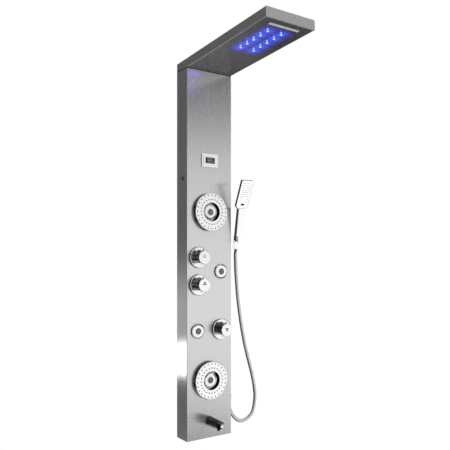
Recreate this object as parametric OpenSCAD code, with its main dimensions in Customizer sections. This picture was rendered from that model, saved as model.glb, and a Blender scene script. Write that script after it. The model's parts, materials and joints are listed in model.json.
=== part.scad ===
// Shower panel column: a folded stainless column with an overhead rain and waterfall box,
// two large body sprays, two small swivel jets, three knobs, a hand shower on its hose
// and a tub spout. Lengths are in millimetres and angles in degrees.

/* [Column] */
// Width of the column and of the overhead box
panel_w = 200; // [190:1:220]
// Depth of the column from the wall to its front face
column_d = 74; // [72:1:84]
// Height of the column up to the overhead box
column_h = 1392; // [1370:1:1450]
// Thickness of the folded stainless sheet
sheet_t = 1.2; // [1:0.1:1.6]
// Outside radius of the column's folds
fold_r = 2.4; // [2:0.1:4]
// Width of the frame that is folded inward round the open back
back_fold_w = 18; // [14:1:20]
// Width of the seat where the column and the overhead box are screwed together
seat_w = 14; // [12:1:15]

/* [Overhead box] */
// Reach of the overhead box in front of the column
head_reach = 474; // [465:1:520]
// Thickness of the overhead box
head_t = 33.4; // [32:0.2:40]
// Upward tilt of the overhead box
head_tilt = 3.1; // [1:0.1:5]
// Width of the lip that carries the rain plate
lip_w = 4; // [3:0.5:6]
// Distance of the first row of rain nozzles, as a share of the reach
rain_start_share = 0.4515; // [0.44:0.0005:0.457]
// Spacing between the lamps along the box, as a share of the reach
lamp_pitch_share = 0.0785; // [0.072:0.0005:0.079]
// Distance of each row of lamps from the middle, as a share of the width
lamp_share = 0.14; // [0.13:0.005:0.15]
// Diameter of a lamp lens
lamp_d = 8; // [6:0.5:10]
// Diameter of a rain nozzle
rain_nozzle_d = 3.8; // [3:0.1:4.4]
// Length of the waterfall outlet, as a share of the width
fall_share = 0.6; // [0.5:0.01:0.62]
// Width of the waterfall outlet
fall_l = 11; // [10:0.5:14]
// Distance of the waterfall outlet behind the far end, as a share of the reach
fall_back_share = 0.074; // [0.066:0.001:0.08]

/* [Temperature display] */
// Width of the display frame
display_w = 73; // [68:1:80]
// Height of the display frame
display_h = 50; // [46:1:56]
// Height of the display's middle above the foot of the column
display_z = 1053; // [1020:1:1080]
// Thickness of the display frame
display_t = 3; // [2:0.5:4]

/* [Body sprays and jets] */
// Diameter of a large body spray
spray_d = 144; // [138:1:156]
// Thickness of a large body spray
spray_t = 16; // [14:0.5:20]
// Diameter of the recess in a large body spray
recess_d = 72; // [70:1:80]
// Height of the upper body spray
upper_spray_z = 857; // [850:1:880]
// Height of the lower body spray
lower_spray_z = 219; // [215:1:240]
// Diameter of a jet's collar
collar_d = 58; // [58:1:62]
// Diameter of the threaded tail of a jet
jet_tail_d = 52; // [52:0.5:53]
// Diameter of the swivelling ball in a jet
ball_d = 38; // [37:0.5:39]
// Distance of the right jet from the middle, as a share of the width
right_jet_share = 0.255; // [0.24:0.005:0.27]
// Height of the right jet
right_jet_z = 631; // [620:1:640]
// Distance of the left jet from the middle, as a share of the width
left_jet_share = 0.265; // [0.24:0.005:0.275]
// Height of the left jet
left_jet_z = 408; // [400:1:420]

/* [Knobs] */
// Diameter of a knob's wall flange
flange_d = 80; // [74:1:86]
// Thickness of a knob's wall flange
flange_t = 8; // [7:0.5:10]
// Diameter of a knob's barrel
barrel_d = 42; // [38:1:46]
// Diameter of a knob's face
knob_face_d = 50; // [48:1:56]
// Distance from the column to a knob's face
knob_reach = 45; // [42:1:52]
// Distance of the knobs from the middle, as a share of the width
tap_share = 0.25; // [0.24:0.005:0.26]
// Height of the hot knob
hot_z = 685; // [680:1:700]
// Height of the cold knob
cold_z = 582; // [570:1:590]
// Height of the diverter knob
diverter_z = 409; // [400:1:420]

/* [Tub spout] */
// Height of the spout's axis above the foot of the column
spout_z = 63; // [58:1:75]
// Diameter of the spout at its root
spout_root_d = 37; // [34:1:40]
// Diameter of the spout near its tip
spout_tip_d = 31; // [28:1:33]
// Reach of the spout in front of the column
spout_reach = 90; // [80:1:110]

/* [Hand shower] */
// Distance of the hand shower's axis from the column's side
hand_out = 22; // [22:1:26]
// Height of the lower end of the hand shower's conical nut
hand_z = 712; // [700:1:720]
// Forward lean of the handle
hand_lean = 11.6; // [9:0.2:14]
// Extra forward lean of the spray head on the handle
face_lean = 12; // [6:0.5:14]
// Width of the handle at its top
handle_w = 33; // [31:0.5:35]
// Width of the handle at its lower end
handle_low_w = 28; // [26:0.5:30]
// Thickness of the handle
handle_t = 14; // [13:0.5:17]
// Length of the hand shower from the conical nut to its spray head
handle_l = 132; // [120:1:150]
// Width of the spray head
hand_face_w = 57; // [54:1:66]
// Length of the spray head
hand_face_l = 106; // [98:1:112]
// Thickness of the spray head
hand_face_t = 13; // [12:0.5:16]
// Outside diameter of the hose
hose_d = 14; // [13:0.5:15]
// Height of the hose outlet on the column's side
outlet_z = 150; // [148:1:160]

/* [Wall brackets] */
// Distance of the upper bracket's screws below the overhead box
upper_bracket_drop = 102; // [90:1:120]
// Height of the lower bracket's screws above the foot of the column
lower_bracket_z = 100; // [90:1:104]
// Distance between the two screws of a bracket, as a share of the width
bracket_pitch_share = 0.6; // [0.5:0.01:0.62]
// Diameter of a bracket's screw hole
bracket_hole_d = 5.5; // [4.5:0.1:6.5]
// Length of a wall bracket, as a share of the width
bracket_share = 0.75; // [0.7:0.01:0.78]

/* [Hidden] */

// finishes
steel = [0.72, 0.72, 0.73];
dark_steel = [0.36, 0.36, 0.38];
chrome = [0.86, 0.86, 0.88];
brass = [0.78, 0.62, 0.32];
black = [0.1, 0.1, 0.11];
white = [0.93, 0.93, 0.94];
hose_white = [0.8, 0.82, 0.84];
lamp_blue = [0.35, 0.6, 1];
seal_grey = [0.4, 0.4, 0.42];

// fits shared by all pieces
overrun = 1;
loose = 0.3;
running = 0.05;
press = 0.1;
facets = 64;

// frames of reference: the front face looks along -Y, and the wall is the plane y = 0
front_y = -column_d;
half_w = panel_w / 2;
inner_x = half_w - sheet_t;
upper_bracket_z = column_h - upper_bracket_drop;
bracket_w = panel_w * bracket_share;
bracket_pitch = panel_w * bracket_pitch_share;
tap_x = panel_w * tap_share;
diverter_x = tap_x;
right_jet_x = panel_w * right_jet_share;
left_jet_x = panel_w * left_jet_share;

// planes behind the front face, measured from the wall, in which the pipes run
plane_gap = 4;
tail_l = 22;
hub_r = 9;
front_plane = column_d - tail_l - hub_r - plane_gap;
rear_plane = 23;
mixer_plane = 29;
pipe_r = 6;
inset_share = 0.97;
stub_r = 6.5;
stub_l = 10;

// threads of the half-inch size
thread_r = 10.48;
thread_l = 20;
thread_bore_r = 7;

// screws that hold sheet to sheet
screw_r = 2;
screw_hole_r = 2.25;
screw_head_r = 3.5;
screw_head_t = 2.8;
screw_nut_r = 3.9;
screw_nut_t = 3.2;

// Hangs a model drawn from the foot of the column on its upper wall bracket
module hang() {
  translate([0, 0, -upper_bracket_z]) children();
}

// Puts a fitting on the front face, with its own +Z pointing out of the face
module on_front(x, z) {
  translate([x, front_y, z]) rotate([90, 0, 0]) children();
}

// Runs a profile drawn in Y and Z along X, centred
module along_x(w) {
  translate([-w / 2, 0, 0]) rotate([90, 0, 90]) linear_extrude(w) children();
}

// A rectangle with round corners, centred
module round_rect(w, h, r) {
  square([w - 2 * r, h], center = true);
  square([w, h - 2 * r], center = true);
  for (x = [-1, 1]) for (y = [-1, 1])
    translate([x * (w / 2 - r), y * (h / 2 - r)]) circle(r = r, $fn = facets);
}

// A straight cylinder between two heights
module rod(r, low, high, sides = facets) {
  translate([0, 0, low]) cylinder(r = r, h = high - low, $fn = sides);
}

// A hexagonal ring between two heights
module hex_ring(corner_r, bore_r, low, high) {
  difference() {
    translate([0, 0, low]) cylinder(r = corner_r, h = high - low, $fn = 6);
    rod(bore_r, low - overrun, high + overrun);
  }
}

// Column: a sheet folded into a deep tray, open to the wall inside a narrow frame

module fold_outline(w, d, r) {
  translate([-w / 2, -d + r]) square([w, d - r]);
  translate([-w / 2 + r, -d]) square([w - 2 * r, d]);
  for (x = [-1, 1]) translate([x * (w / 2 - r), -d + r]) circle(r = r, $fn = facets);
}

seat_screw_x = inner_x - seat_w / 2 + sheet_t / 2;
seat_screw_front = 16;
seat_screw_gap = 20;
seat_screw_ys = [front_y + seat_screw_front, front_y + seat_screw_front + seat_screw_gap];
display_cut_w = 58;
display_cut_h = 36;
neck_r = 11;
plug_z = 981;
plug_back = 30;
plug_r = 7.5;
plug_stem_r = 5;
plug_head_t = 2.5;
hanger_t = 2;
hook_gap = 0.3;
hook_up = 12;
hook_t = 2;
hook_reach = 8;
bracket_h = 30;
hanger_drop = 14;
driver_hole_r = 6;
holder_screw_dz = 13;
holder_back = 20;
holder_base_y = front_y + holder_back;
holder_base_h = 40;

// Section of a hanger bar, an upturned channel that drops over the bracket's hook
module hanger_profile() {
  top = bracket_h / 2 + hook_up;
  front = -hook_reach - hook_t - hook_gap;
  back = -hook_reach + hook_gap;
  translate([front - hanger_t, -hanger_drop]) square([hanger_t, hanger_drop + top + hanger_t]);
  translate([front - hanger_t, top]) square([back - front + 2 * hanger_t, hanger_t]);
  translate([back, top - hook_up + hook_gap + hook_t]) square([hanger_t, hook_up - hook_t]);
}

module front_cuts() {
  for (z = [upper_spray_z, lower_spray_z])
    on_front(0, z) rod(jet_tail_d / 2 + loose, -sheet_t - overrun, overrun);
  on_front(right_jet_x, right_jet_z) rod(jet_tail_d / 2 + loose, -sheet_t - overrun, overrun);
  on_front(-left_jet_x, left_jet_z) rod(jet_tail_d / 2 + loose, -sheet_t - overrun, overrun);
  for (p = [[-tap_x, hot_z], [-tap_x, cold_z], [diverter_x, diverter_z]])
    on_front(p[0], p[1]) rod(neck_r + loose, -sheet_t - overrun, overrun);
  on_front(0, spout_z) rod(thread_r + loose, -sheet_t - overrun, overrun);
  on_front(0, display_z) translate([0, 0, -sheet_t - overrun])
    linear_extrude(sheet_t + 2 * overrun) square([display_cut_w, display_cut_h], center = true);
}

module side_cuts() {
  translate([0, -rear_plane, outlet_z]) rotate([0, 90, 0])
    rod(thread_r + loose, inner_x - overrun, half_w + overrun);
  translate([0, front_y + plug_back, plug_z]) rotate([0, -90, 0])
    rod(plug_stem_r, inner_x - overrun, half_w + overrun);
  for (s = [-1, 1]) translate([0, holder_base_y, holder_mid_z + s * holder_screw_dz])
    rotate([0, 90, 0]) rod(screw_hole_r, inner_x - overrun, half_w + overrun);
}

module column_casing() hang() color(steel) {
  difference() {
    linear_extrude(column_h) fold_outline(panel_w, column_d, fold_r);
    translate([0, -sheet_t, sheet_t]) linear_extrude(column_h - 2 * sheet_t)
      fold_outline(panel_w - 2 * sheet_t, column_d - 2 * sheet_t, fold_r - sheet_t);
    translate([-half_w + back_fold_w, -sheet_t - overrun, back_fold_w])
      cube([panel_w - 2 * back_fold_w, sheet_t + 2 * overrun, column_h - 2 * back_fold_w]);
    translate([-inner_x + seat_w, front_y + seat_w, column_h - sheet_t - overrun])
      cube([2 * (inner_x - seat_w), column_d - 2 * seat_w, sheet_t + 2 * overrun]);
    front_cuts();
    side_cuts();
    for (x = [-1, 1]) for (y = seat_screw_ys) translate([x * seat_screw_x, y, column_h])
      rod(screw_hole_r, -sheet_t - overrun, overrun);
  }
  for (z = [upper_bracket_z, lower_bracket_z]) translate([0, 0, z]) difference() {
    along_x(2 * inner_x + sheet_t) hanger_profile();
    for (x = [-1, 1]) translate([x * bracket_pitch / 2, 0, 0]) rotate([90, 0, 0])
      rod(driver_hole_r, 0, 2 * hook_reach);
  }
}

// Overhead box: a folded box that stands on the column and rises a little to its far end

// A point at a distance out along the underside and a height above it, as [y, z]
function head_at(out, up) = [front_y - out * cos(head_tilt) + up * sin(head_tilt),
  column_h + out * sin(head_tilt) + up * cos(head_tilt)];

// Height of the line that runs a given distance above the underside, at a given y
function head_z(y, up) = column_h + (up - sin(head_tilt) * (y - front_y)) / cos(head_tilt);

// Side view of the box, with every wall moved inward by inset
function head_outline(inset) = [
  [-inset, column_h + inset],
  [front_y + inset * tan(head_tilt / 2), column_h + inset],
  head_at(head_reach - inset, inset),
  head_at(head_reach - inset, head_t - inset),
  [-inset, head_z(-inset, head_t - inset)]];

// Local frame of the underside: -Y runs outward and +Z points into the box
module in_head() {
  translate([0, front_y, column_h]) rotate([-head_tilt, 0, 0]) children();
}

module head_casing() hang() color(steel) difference() {
  intersection() {
    along_x(panel_w) polygon(head_outline(0));
    in_head() translate([0, column_d + overrun, head_t / 2]) rotate([90, 0, 0])
      linear_extrude(head_reach + column_d + 2 * overrun) round_rect(panel_w, head_t, fold_r);
  }
  along_x(2 * inner_x) polygon(head_outline(sheet_t));
  in_head() translate([-half_w + lip_w, -head_reach + lip_w, -overrun])
    cube([panel_w - 2 * lip_w, head_reach - 2 * lip_w, sheet_t + 2 * overrun]);
  translate([-inner_x + seat_w, front_y + seat_w, column_h - overrun])
    cube([2 * (inner_x - seat_w), column_d - 2 * seat_w, sheet_t + 2 * overrun]);
  for (x = [-1, 1]) for (y = seat_screw_ys) translate([x * seat_screw_x, y, column_h])
    rod(screw_hole_r, -overrun, sheet_t + overrun);
}

// A countersunk pan screw with its nut, head down, through a given grip
module sheet_screw(grip) {
  rod(screw_head_r, -screw_head_t, 0);
  rod(screw_r, -screw_head_t / 2, grip + screw_nut_t);
  difference() {
    translate([0, 0, grip]) cylinder(r = screw_nut_r, h = screw_nut_t, $fn = 6);
    rod(screw_r - running, grip - overrun, grip + screw_nut_t + overrun);
  }
}

module case_screws() hang() color(chrome) {
  for (x = [-1, 1]) for (y = seat_screw_ys)
    translate([x * seat_screw_x, y, column_h - sheet_t]) sheet_screw(2 * sheet_t);
  for (s = [-1, 1]) translate([inner_x, holder_base_y, holder_mid_z + s * holder_screw_dz])
    rotate([0, 90, 0]) {
      rod(screw_head_r, -screw_head_t, 0);
      rod(screw_r, -screw_head_t / 2, sheet_t + holder_screw_depth);
    }
}

// Places of the rain nozzles and lamps under the overhead box
lamp_rows = 5;
chamber_share = 0.64;
nozzle_rows = 12;
rain_start = head_reach * rain_start_share;
lamp_pitch = head_reach * lamp_pitch_share;
lamp_x = panel_w * lamp_share;
nozzle_pitch = lamp_pitch / 2;
nozzle_shares = [0.04, 0.225, 0.29];
nozzle_xs = [for (share = nozzle_shares) panel_w * share];
nozzle_ys = [for (i = [0 : nozzle_rows - 1]) rain_start + i * nozzle_pitch];
lamp_ys = [for (i = [0 : lamp_rows - 1]) rain_start + (i + 0.75) * lamp_pitch];
fall_w = panel_w * fall_share;
fall_y = head_reach * (1 - fall_back_share);
fall_rim = 3;
plate_gap = 0.4;
nozzle_drop = 0.6;
nozzle_bore_r = 0.7;

module each_nozzle() {
  for (x = nozzle_xs) for (s = [-1, 1]) for (y = nozzle_ys) translate([s * x, -y, 0]) children();
}

module each_lamp() {
  for (s = [-1, 1]) for (y = lamp_ys) translate([s * lamp_x, -y, 0]) children();
}

module rain_plate() hang() color(dark_steel) in_head() difference() {
  translate([-inner_x + plate_gap, -head_reach + sheet_t + plate_gap, sheet_t])
    cube([2 * (inner_x - plate_gap), head_reach - sheet_t - 2 * plate_gap, sheet_t]);
  each_nozzle() rod(rain_nozzle_d / 2 + press, 0, 2 * sheet_t + overrun);
  each_lamp() rod(lamp_d / 2 + press, 0, 2 * sheet_t + overrun);
  translate([-fall_w / 2 + fall_rim, -fall_y - fall_l / 2 + fall_rim / 2, 0])
    cube([fall_w - 2 * fall_rim, fall_l - fall_rim, 2 * sheet_t + overrun]);
}

module rain_nozzles() hang() color(seal_grey) in_head() each_nozzle() difference() {
  union() {
    rod(rain_nozzle_d / 2, sheet_t, 2 * sheet_t, 24);
    translate([0, 0, -nozzle_drop])
      cylinder(r1 = rain_nozzle_d / 3, r2 = rain_nozzle_d / 2, h = sheet_t + nozzle_drop, $fn = 24);
  }
  rod(nozzle_bore_r, -nozzle_drop - overrun, sheet_t, 16);
}

chamber_w = panel_w * chamber_share;
chamber_top = 24;
chamber_margin = 7;
chamber_r = 8;
strip_w = 12;
strip_t = 3;
strip_end = 14;
strip_room = 1;
feed_up = 17;
rain_lane_x = diverter_x;
lane_gap = 0.8;
fall_lane_x = inner_x - seat_w - pipe_r - lane_gap;
chamber_back = rain_start - chamber_margin;
chamber_front = nozzle_ys[nozzle_rows - 1] + chamber_margin;

module rain_chamber() hang() color(white) in_head() {
  difference() {
    translate([0, -(chamber_back + chamber_front) / 2, 2 * sheet_t])
      linear_extrude(chamber_top - 2 * sheet_t)
      round_rect(chamber_w, chamber_front - chamber_back, chamber_r);
    for (s = [-1, 1])
      translate([s * lamp_x - strip_w / 2 - strip_room, -chamber_front - overrun, 0])
      cube([strip_w + 2 * strip_room, chamber_front - chamber_back + 2 * overrun,
        2 * sheet_t + strip_t + strip_room]);
  }
  translate([rain_lane_x, -chamber_back, feed_up]) rotate([-90, 0, 0])
    rod(stub_r, -chamber_r, stub_l + chamber_r / 2);
}

module lamp_strips() hang() color(black) in_head() for (s = [-1, 1])
  translate([s * lamp_x - strip_w / 2, -lamp_ys[lamp_rows - 1] - strip_end, 2 * sheet_t])
  cube([strip_w, lamp_ys[lamp_rows - 1] - lamp_ys[0] + 2 * strip_end, strip_t]);

lens_r = 5;
lens_up = 3.4;

module lamp_lenses() hang() color(lamp_blue) in_head() each_lamp() intersection() {
  rod(lamp_d / 2, -2 * overrun, 2 * sheet_t, 32);
  translate([0, 0, lens_up]) sphere(r = lens_r * lamp_d / 8, $fn = 48);
}

fall_body_l = 18;
fall_body_top = 24;
fall_slot = 2.4;
fall_slot_side = 6;
fall_proud = 1;
fall_wall = 3;

module waterfall_outlet() hang() color(chrome) in_head() translate([0, -fall_y, 0]) difference() {
  union() {
    translate([0, 0, sheet_t - fall_proud]) linear_extrude(fall_proud)
      round_rect(fall_w, fall_l, fall_rim / 2);
    translate([0, 0, 0]) linear_extrude(2 * sheet_t)
      round_rect(fall_w - 2 * fall_rim - 2 * press, fall_l - fall_rim - 2 * press, fall_rim / 2);
    translate([0, 0, 2 * sheet_t]) linear_extrude(fall_body_top - 2 * sheet_t)
      round_rect(fall_w - 2 * fall_rim, fall_body_l, fall_rim);
    translate([0, 0, feed_up]) rotate([0, 90, 0]) rod(stub_r, 0, fall_w / 2 + fall_rim);
  }
  translate([0, 0, -overrun]) linear_extrude(fall_body_top - fall_wall)
    square([fall_w - 2 * fall_slot_side, fall_slot], center = true);
}

// Temperature display: a chrome frame, a dark window and the sealed module behind them

border_w = 57;
border_h = 38;
border_up = 1;
window_w = 42;
window_h = 23;
display_r = 3;
module_d = 23;

module display_frame() hang() color(chrome) on_front(0, display_z) difference() {
  union() {
    linear_extrude(display_t) round_rect(display_w, display_h, display_r);
    linear_extrude(display_t + border_up) round_rect(border_w, border_h, display_r / 2);
  }
  translate([0, 0, -overrun]) linear_extrude(display_t + border_up + 2 * overrun)
    square([window_w, window_h], center = true);
}

module display_lens() hang() color(black) on_front(0, display_z) linear_extrude(display_t)
  square([window_w - 2 * press, window_h - 2 * press], center = true);

module display_module() hang() color(black) on_front(0, display_z) {
  translate([0, 0, -module_d]) linear_extrude(module_d)
    round_rect(display_cut_w - 2 * loose, display_cut_h - 2 * loose, display_r);
  translate([lead_x, 0, 0]) rod(lead_gland_r, -module_d - lead_gland_l, -module_d / 2);
}

// Body sprays: a ring with two rows of nozzles round a recess that holds a swivel jet

spray_floor = 2;
spray_round = 3;
spray_rim_r = spray_d / 2;
spray_bead_r = recess_d / 2;
nub_count = 24;
nub_row_shares = [0.66, 0.88];
nub_r = 1.7;
nub_depth = 1.5;
nub_up = 0.9;
nub_bore_r = 0.6;

// Half section of a spray ring, turned about the middle
module spray_profile() {
  floor_r = jet_tail_d / 2 + loose;
  difference() {
    union() {
      translate([floor_r, 0]) square([spray_rim_r - spray_round - floor_r, spray_t]);
      translate([floor_r, 0]) square([spray_rim_r - floor_r, spray_t - spray_round]);
      translate([spray_rim_r - spray_round, spray_t - spray_round])
        circle(r = spray_round, $fn = facets);
    }
    polygon([[0, spray_floor], [spray_bead_r - spray_round, spray_floor],
      [spray_bead_r, spray_t + overrun], [0, spray_t + overrun]]);
  }
}

module each_nub() {
  for (row = nub_row_shares) for (i = [0 : nub_count - 1]) rotate([0, 0, i * 360 / nub_count])
    translate([row * spray_d / 2, 0, spray_t]) children();
}

module spray_ring() difference() {
  rotate_extrude($fn = 96) spray_profile();
  each_nub() rod(nub_r, -nub_depth, overrun, 16);
}

module upper_body_spray() hang() color(white) on_front(0, upper_spray_z) spray_ring();
module lower_body_spray() hang() color(white) on_front(0, lower_spray_z) spray_ring();

module spray_nozzles() hang() color(seal_grey) for (z = [upper_spray_z, lower_spray_z])
  on_front(0, z) each_nub() difference() {
    union() {
      rod(nub_r - press, -nub_depth, 0, 16);
      cylinder(r1 = nub_r - press, r2 = nub_r * 0.7, h = nub_up, $fn = 16);
    }
    rod(nub_bore_r, -nub_depth / 2, nub_up + overrun, 16);
  }

// Swivel jets: a collar through the sheet, a turning seat ring, and a ball with its nozzle

seat_wall = 3;
collar_t = 5.5;
collar_round = 2;
collar_dish = 1.5;
tail_cap = 3;
ball_r = ball_d / 2;
bore_r = ball_r + seat_wall;
ball_z = -7;
seat_low = -8;
seat_high = 4.5;
ball_face = 12;
ball_back = 7;
ball_bore_r = 5;
eye_r = 12;
eye_depth = 4;
eye_floor = 1.5;
tip_out = 13;
tip_r = 4;
tip_root_r = 6;
tip_bore_r = 2.2;
nut_t = 6;
nut_corner_r = 33;
jet_end = column_d - front_plane - hub_r - overrun / 2;

// Collar of a jet whose flange stands on a floor of the given thickness
module collar(lift) {
  dish_r = collar_d / 2 - collar_round;
  difference() {
    union() {
      rotate_extrude($fn = 96) {
        polygon([[ball_r, lift], [dish_r, lift], [dish_r, lift + collar_t],
          [ball_r, lift + collar_t - collar_dish]]);
        translate([dish_r, lift]) square([collar_round, collar_t - collar_round]);
        translate([dish_r, lift + collar_t - collar_round]) circle(r = collar_round, $fn = facets);
      }
      rod(jet_tail_d / 2, lift - tail_l, lift + collar_t / 3);
      rod(stub_r, -jet_end, lift - tail_l / 2);
    }
    rod(bore_r, lift + seat_low - loose, lift + collar_t + overrun);
    rod(ball_r + overrun, lift - tail_l + tail_cap, lift);
    rod(pipe_r * 0.6, -jet_end - overrun, lift);
  }
}

module seat() difference() {
  rod(bore_r - running, seat_low, seat_high);
  translate([0, 0, ball_z]) sphere(r = ball_r + loose, $fn = 96);
}

module ball() translate([0, 0, ball_z]) difference() {
  intersection() {
    sphere(r = ball_r, $fn = 96);
    rod(ball_r + overrun, -ball_back, ball_face);
  }
  rod(eye_r, ball_face - eye_depth, ball_face + overrun);
  rod(ball_bore_r, -ball_back - overrun, ball_face);
}

module jet_tip() translate([0, 0, ball_z]) difference() {
  union() {
    rod(eye_r - press, ball_face - eye_depth, ball_face - eye_depth + eye_floor);
    translate([0, 0, ball_face - eye_depth])
      cylinder(r1 = tip_root_r, r2 = tip_r, h = tip_out - ball_face + eye_depth, $fn = facets);
  }
  rod(tip_bore_r, ball_face - eye_depth - overrun, tip_out + overrun);
}

module jet_collars() hang() color(chrome) {
  on_front(0, upper_spray_z) collar(spray_floor);
  on_front(0, lower_spray_z) collar(spray_floor);
  on_front(right_jet_x, right_jet_z) collar(0);
  on_front(-left_jet_x, left_jet_z) collar(0);
}

module jet_nuts() hang() color(black)
  for (p = [[0, upper_spray_z], [0, lower_spray_z], [right_jet_x, right_jet_z],
      [-left_jet_x, left_jet_z]])
    on_front(p[0], p[1])
      hex_ring(nut_corner_r, jet_tail_d / 2 + press, -sheet_t - nut_t, -sheet_t);

module at_upper_jet() hang() on_front(0, upper_spray_z) translate([0, 0, spray_floor]) children();
module at_lower_jet() hang() on_front(0, lower_spray_z) translate([0, 0, spray_floor]) children();
module at_right_jet() hang() on_front(right_jet_x, right_jet_z) children();
module at_left_jet() hang() on_front(-left_jet_x, left_jet_z) children();

module upper_jet_seat() color(chrome) at_upper_jet() seat();
module upper_jet_ball() color(chrome) at_upper_jet() ball();
module upper_jet_nozzle() color(black) at_upper_jet() jet_tip();
module lower_jet_seat() color(chrome) at_lower_jet() seat();
module lower_jet_ball() color(chrome) at_lower_jet() ball();
module lower_jet_nozzle() color(black) at_lower_jet() jet_tip();
module right_jet_seat() color(chrome) at_right_jet() seat();
module right_jet_ball() color(chrome) at_right_jet() ball();
module right_jet_nozzle() color(black) at_right_jet() jet_tip();
module left_jet_seat() color(chrome) at_left_jet() seat();
module left_jet_ball() color(chrome) at_left_jet() ball();
module left_jet_nozzle() color(black) at_left_jet() jet_tip();

// Knobs: a wall flange, a turning knob with a thumb fin, and a spindle in its valve

neck_up = 18;
spindle_r = 4;
spindle_low = -12;
spindle_high = 34;
knob_socket_r = 6;
knob_hollow_r = 15;
flange_round = 3;
fin_root_share = 1.14;
fin_gap = 1.5;
flange_dish_d = knob_face_d * fin_root_share + 2 * fin_gap;
flange_dish = 2;
valve_nut_r = 15;
valve_nut_t = 4;
nut_room_r = 17;
nut_room = 5;
rim_t = 7;
rim_round = 2;
fin_w = 6.5;
// Thumb fin in side view: shares of the reach along the knob, and of the face's radius out
fin_shares = [[0, 0.7], [0, 1.12], [0.1, fin_root_share], [0.42, 0.92], [0.72, 1],
  [0.93, 1.27], [1, 1.2], [1, 0.7]];

module flange() difference() {
  rotate_extrude($fn = 96) {
    square([flange_d / 2, flange_t - flange_round]);
    square([flange_d / 2 - flange_round, flange_t]);
    translate([flange_d / 2 - flange_round, flange_t - flange_round])
      circle(r = flange_round, $fn = facets);
  }
  rod(flange_dish_d / 2, flange_t - flange_dish, flange_t + overrun);
  rod(neck_r + press, -overrun, flange_t + overrun);
  rod(nut_room_r, -overrun, nut_room);
}

module knob() {
  low = flange_t - flange_dish + loose;
  rise = knob_reach - low;
  difference() {
    union() {
      rotate_extrude($fn = 96) {
        translate([0, low]) square([barrel_d / 2, rise - rim_t / 2]);
        translate([0, knob_reach - rim_t]) square([knob_face_d / 2, rim_t - rim_round]);
        translate([0, knob_reach - rim_t]) square([knob_face_d / 2 - rim_round, rim_t]);
        translate([knob_face_d / 2 - rim_round, knob_reach - rim_round])
          circle(r = rim_round, $fn = facets);
      }
      translate([fin_w / 2, 0, low]) rotate([0, -90, 0]) linear_extrude(fin_w)
        polygon([for (p = fin_shares) [p[0] * rise, p[1] * knob_face_d / 2]]);
    }
    rod(knob_hollow_r, low - overrun, neck_up + overrun);
    rod(knob_socket_r, low, spindle_high);
  }
}

module spindle() {
  rod(spindle_r, spindle_low, neck_up + overrun / 2);
  rod(knob_socket_r - running, neck_up + overrun / 2, spindle_high);
}

module knob_flanges() hang() color(chrome)
  for (p = [[-tap_x, hot_z], [-tap_x, cold_z], [diverter_x, diverter_z]])
    on_front(p[0], p[1]) flange();

module valve_nuts() hang() color(brass)
  for (p = [[-tap_x, hot_z], [-tap_x, cold_z], [diverter_x, diverter_z]])
    on_front(p[0], p[1]) hex_ring(valve_nut_r, neck_r + press, 0, valve_nut_t);

module hot_knob() hang() color(chrome) on_front(-tap_x, hot_z) knob();
module cold_knob() hang() color(chrome) on_front(-tap_x, cold_z) knob();
module diverter_knob() hang() color(chrome) on_front(diverter_x, diverter_z) knob();
module hot_spindle() hang() color(brass) on_front(-tap_x, hot_z) spindle();
module cold_spindle() hang() color(brass) on_front(-tap_x, cold_z) spindle();
module diverter_spindle() hang() color(brass) on_front(diverter_x, diverter_z) spindle();

// Mixer: hot and cold valves on one cast body, with a threaded inlet beside each

mixer_r = 13;
mixer_end = 22;
shoulder_r = 16;
elbow_r = 12.5;
inlet_gap = 6.3;
inlet_x = inner_x - elbow_r - inlet_gap;

// Neck and shoulder of a valve that clamps the sheet, down to a given depth
module valve_front(depth) {
  rod(neck_r, -depth / 2, neck_up);
  rod(shoulder_r, -depth, -sheet_t);
}

module spindle_bore() {
  rod(spindle_r + running, spindle_low - loose, neck_up + overrun);
}

// Threaded inlet that turns down beside the mixer, with its waterway
module inlet(z) {
  difference() {
    union() {
      translate([0, -mixer_plane, z]) rotate([0, -90, 0]) rod(elbow_r, tap_x, inlet_x);
      translate([-inlet_x, -mixer_plane, z]) sphere(r = elbow_r, $fn = facets);
      translate([-inlet_x, -mixer_plane, z]) rod(elbow_r, -elbow_r - mixer_r / 2, 0);
      translate([-inlet_x, -mixer_plane, z])
        rod(thread_r, -elbow_r - mixer_r / 2 - thread_l, -elbow_r);
    }
    translate([-inlet_x, -mixer_plane, z])
      rod(thread_bore_r, -elbow_r - mixer_r / 2 - thread_l - overrun, -elbow_r);
  }
}

module mixer_body() hang() color(brass) {
  difference() {
    union() {
      translate([-tap_x, -mixer_plane, 0]) rod(mixer_r, cold_z - mixer_end, hot_z + mixer_end);
      for (z = [hot_z, cold_z]) on_front(-tap_x, z) valve_front(column_d - mixer_plane);
    }
    for (z = [hot_z, cold_z]) on_front(-tap_x, z) spindle_bore();
  }
  inlet(hot_z);
  inlet(cold_z);
}

// Diverter: a drum with one inlet and five outlets in two planes

drum_r = 23;
drum_front = 14;
drum_back = 60;
front_stub_angles = [180, 270];
rear_stub_angles = [90, 50, 150, 285];
drum_stub_l = 6;
stub_end = drum_r + drum_stub_l;

module diverter_body() hang() color(brass) difference() {
  union() {
    on_front(diverter_x, diverter_z) {
      valve_front(drum_back / 2);
      rod(drum_r, -drum_back, -drum_front);
    }
    translate([diverter_x, 0, diverter_z]) {
      for (a = front_stub_angles) translate([0, -front_plane, 0]) rotate([0, 90 - a, 0])
        rod(stub_r, 0, stub_end);
      for (a = rear_stub_angles) translate([0, -rear_plane, 0]) rotate([0, 90 - a, 0])
        rod(stub_r, 0, stub_end);
    }
  }
  on_front(diverter_x, diverter_z) spindle_bore();
}

// Pipes: straight lengths that meet in ball elbows and tees

function unit(v) = v / norm(v);

module pipe(a, b, r) {
  d = b - a;
  translate(a) rotate([0, acos(d[2] / norm(d)), atan2(d[1], d[0])])
    cylinder(r = r, h = norm(d), $fn = facets);
}

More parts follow.
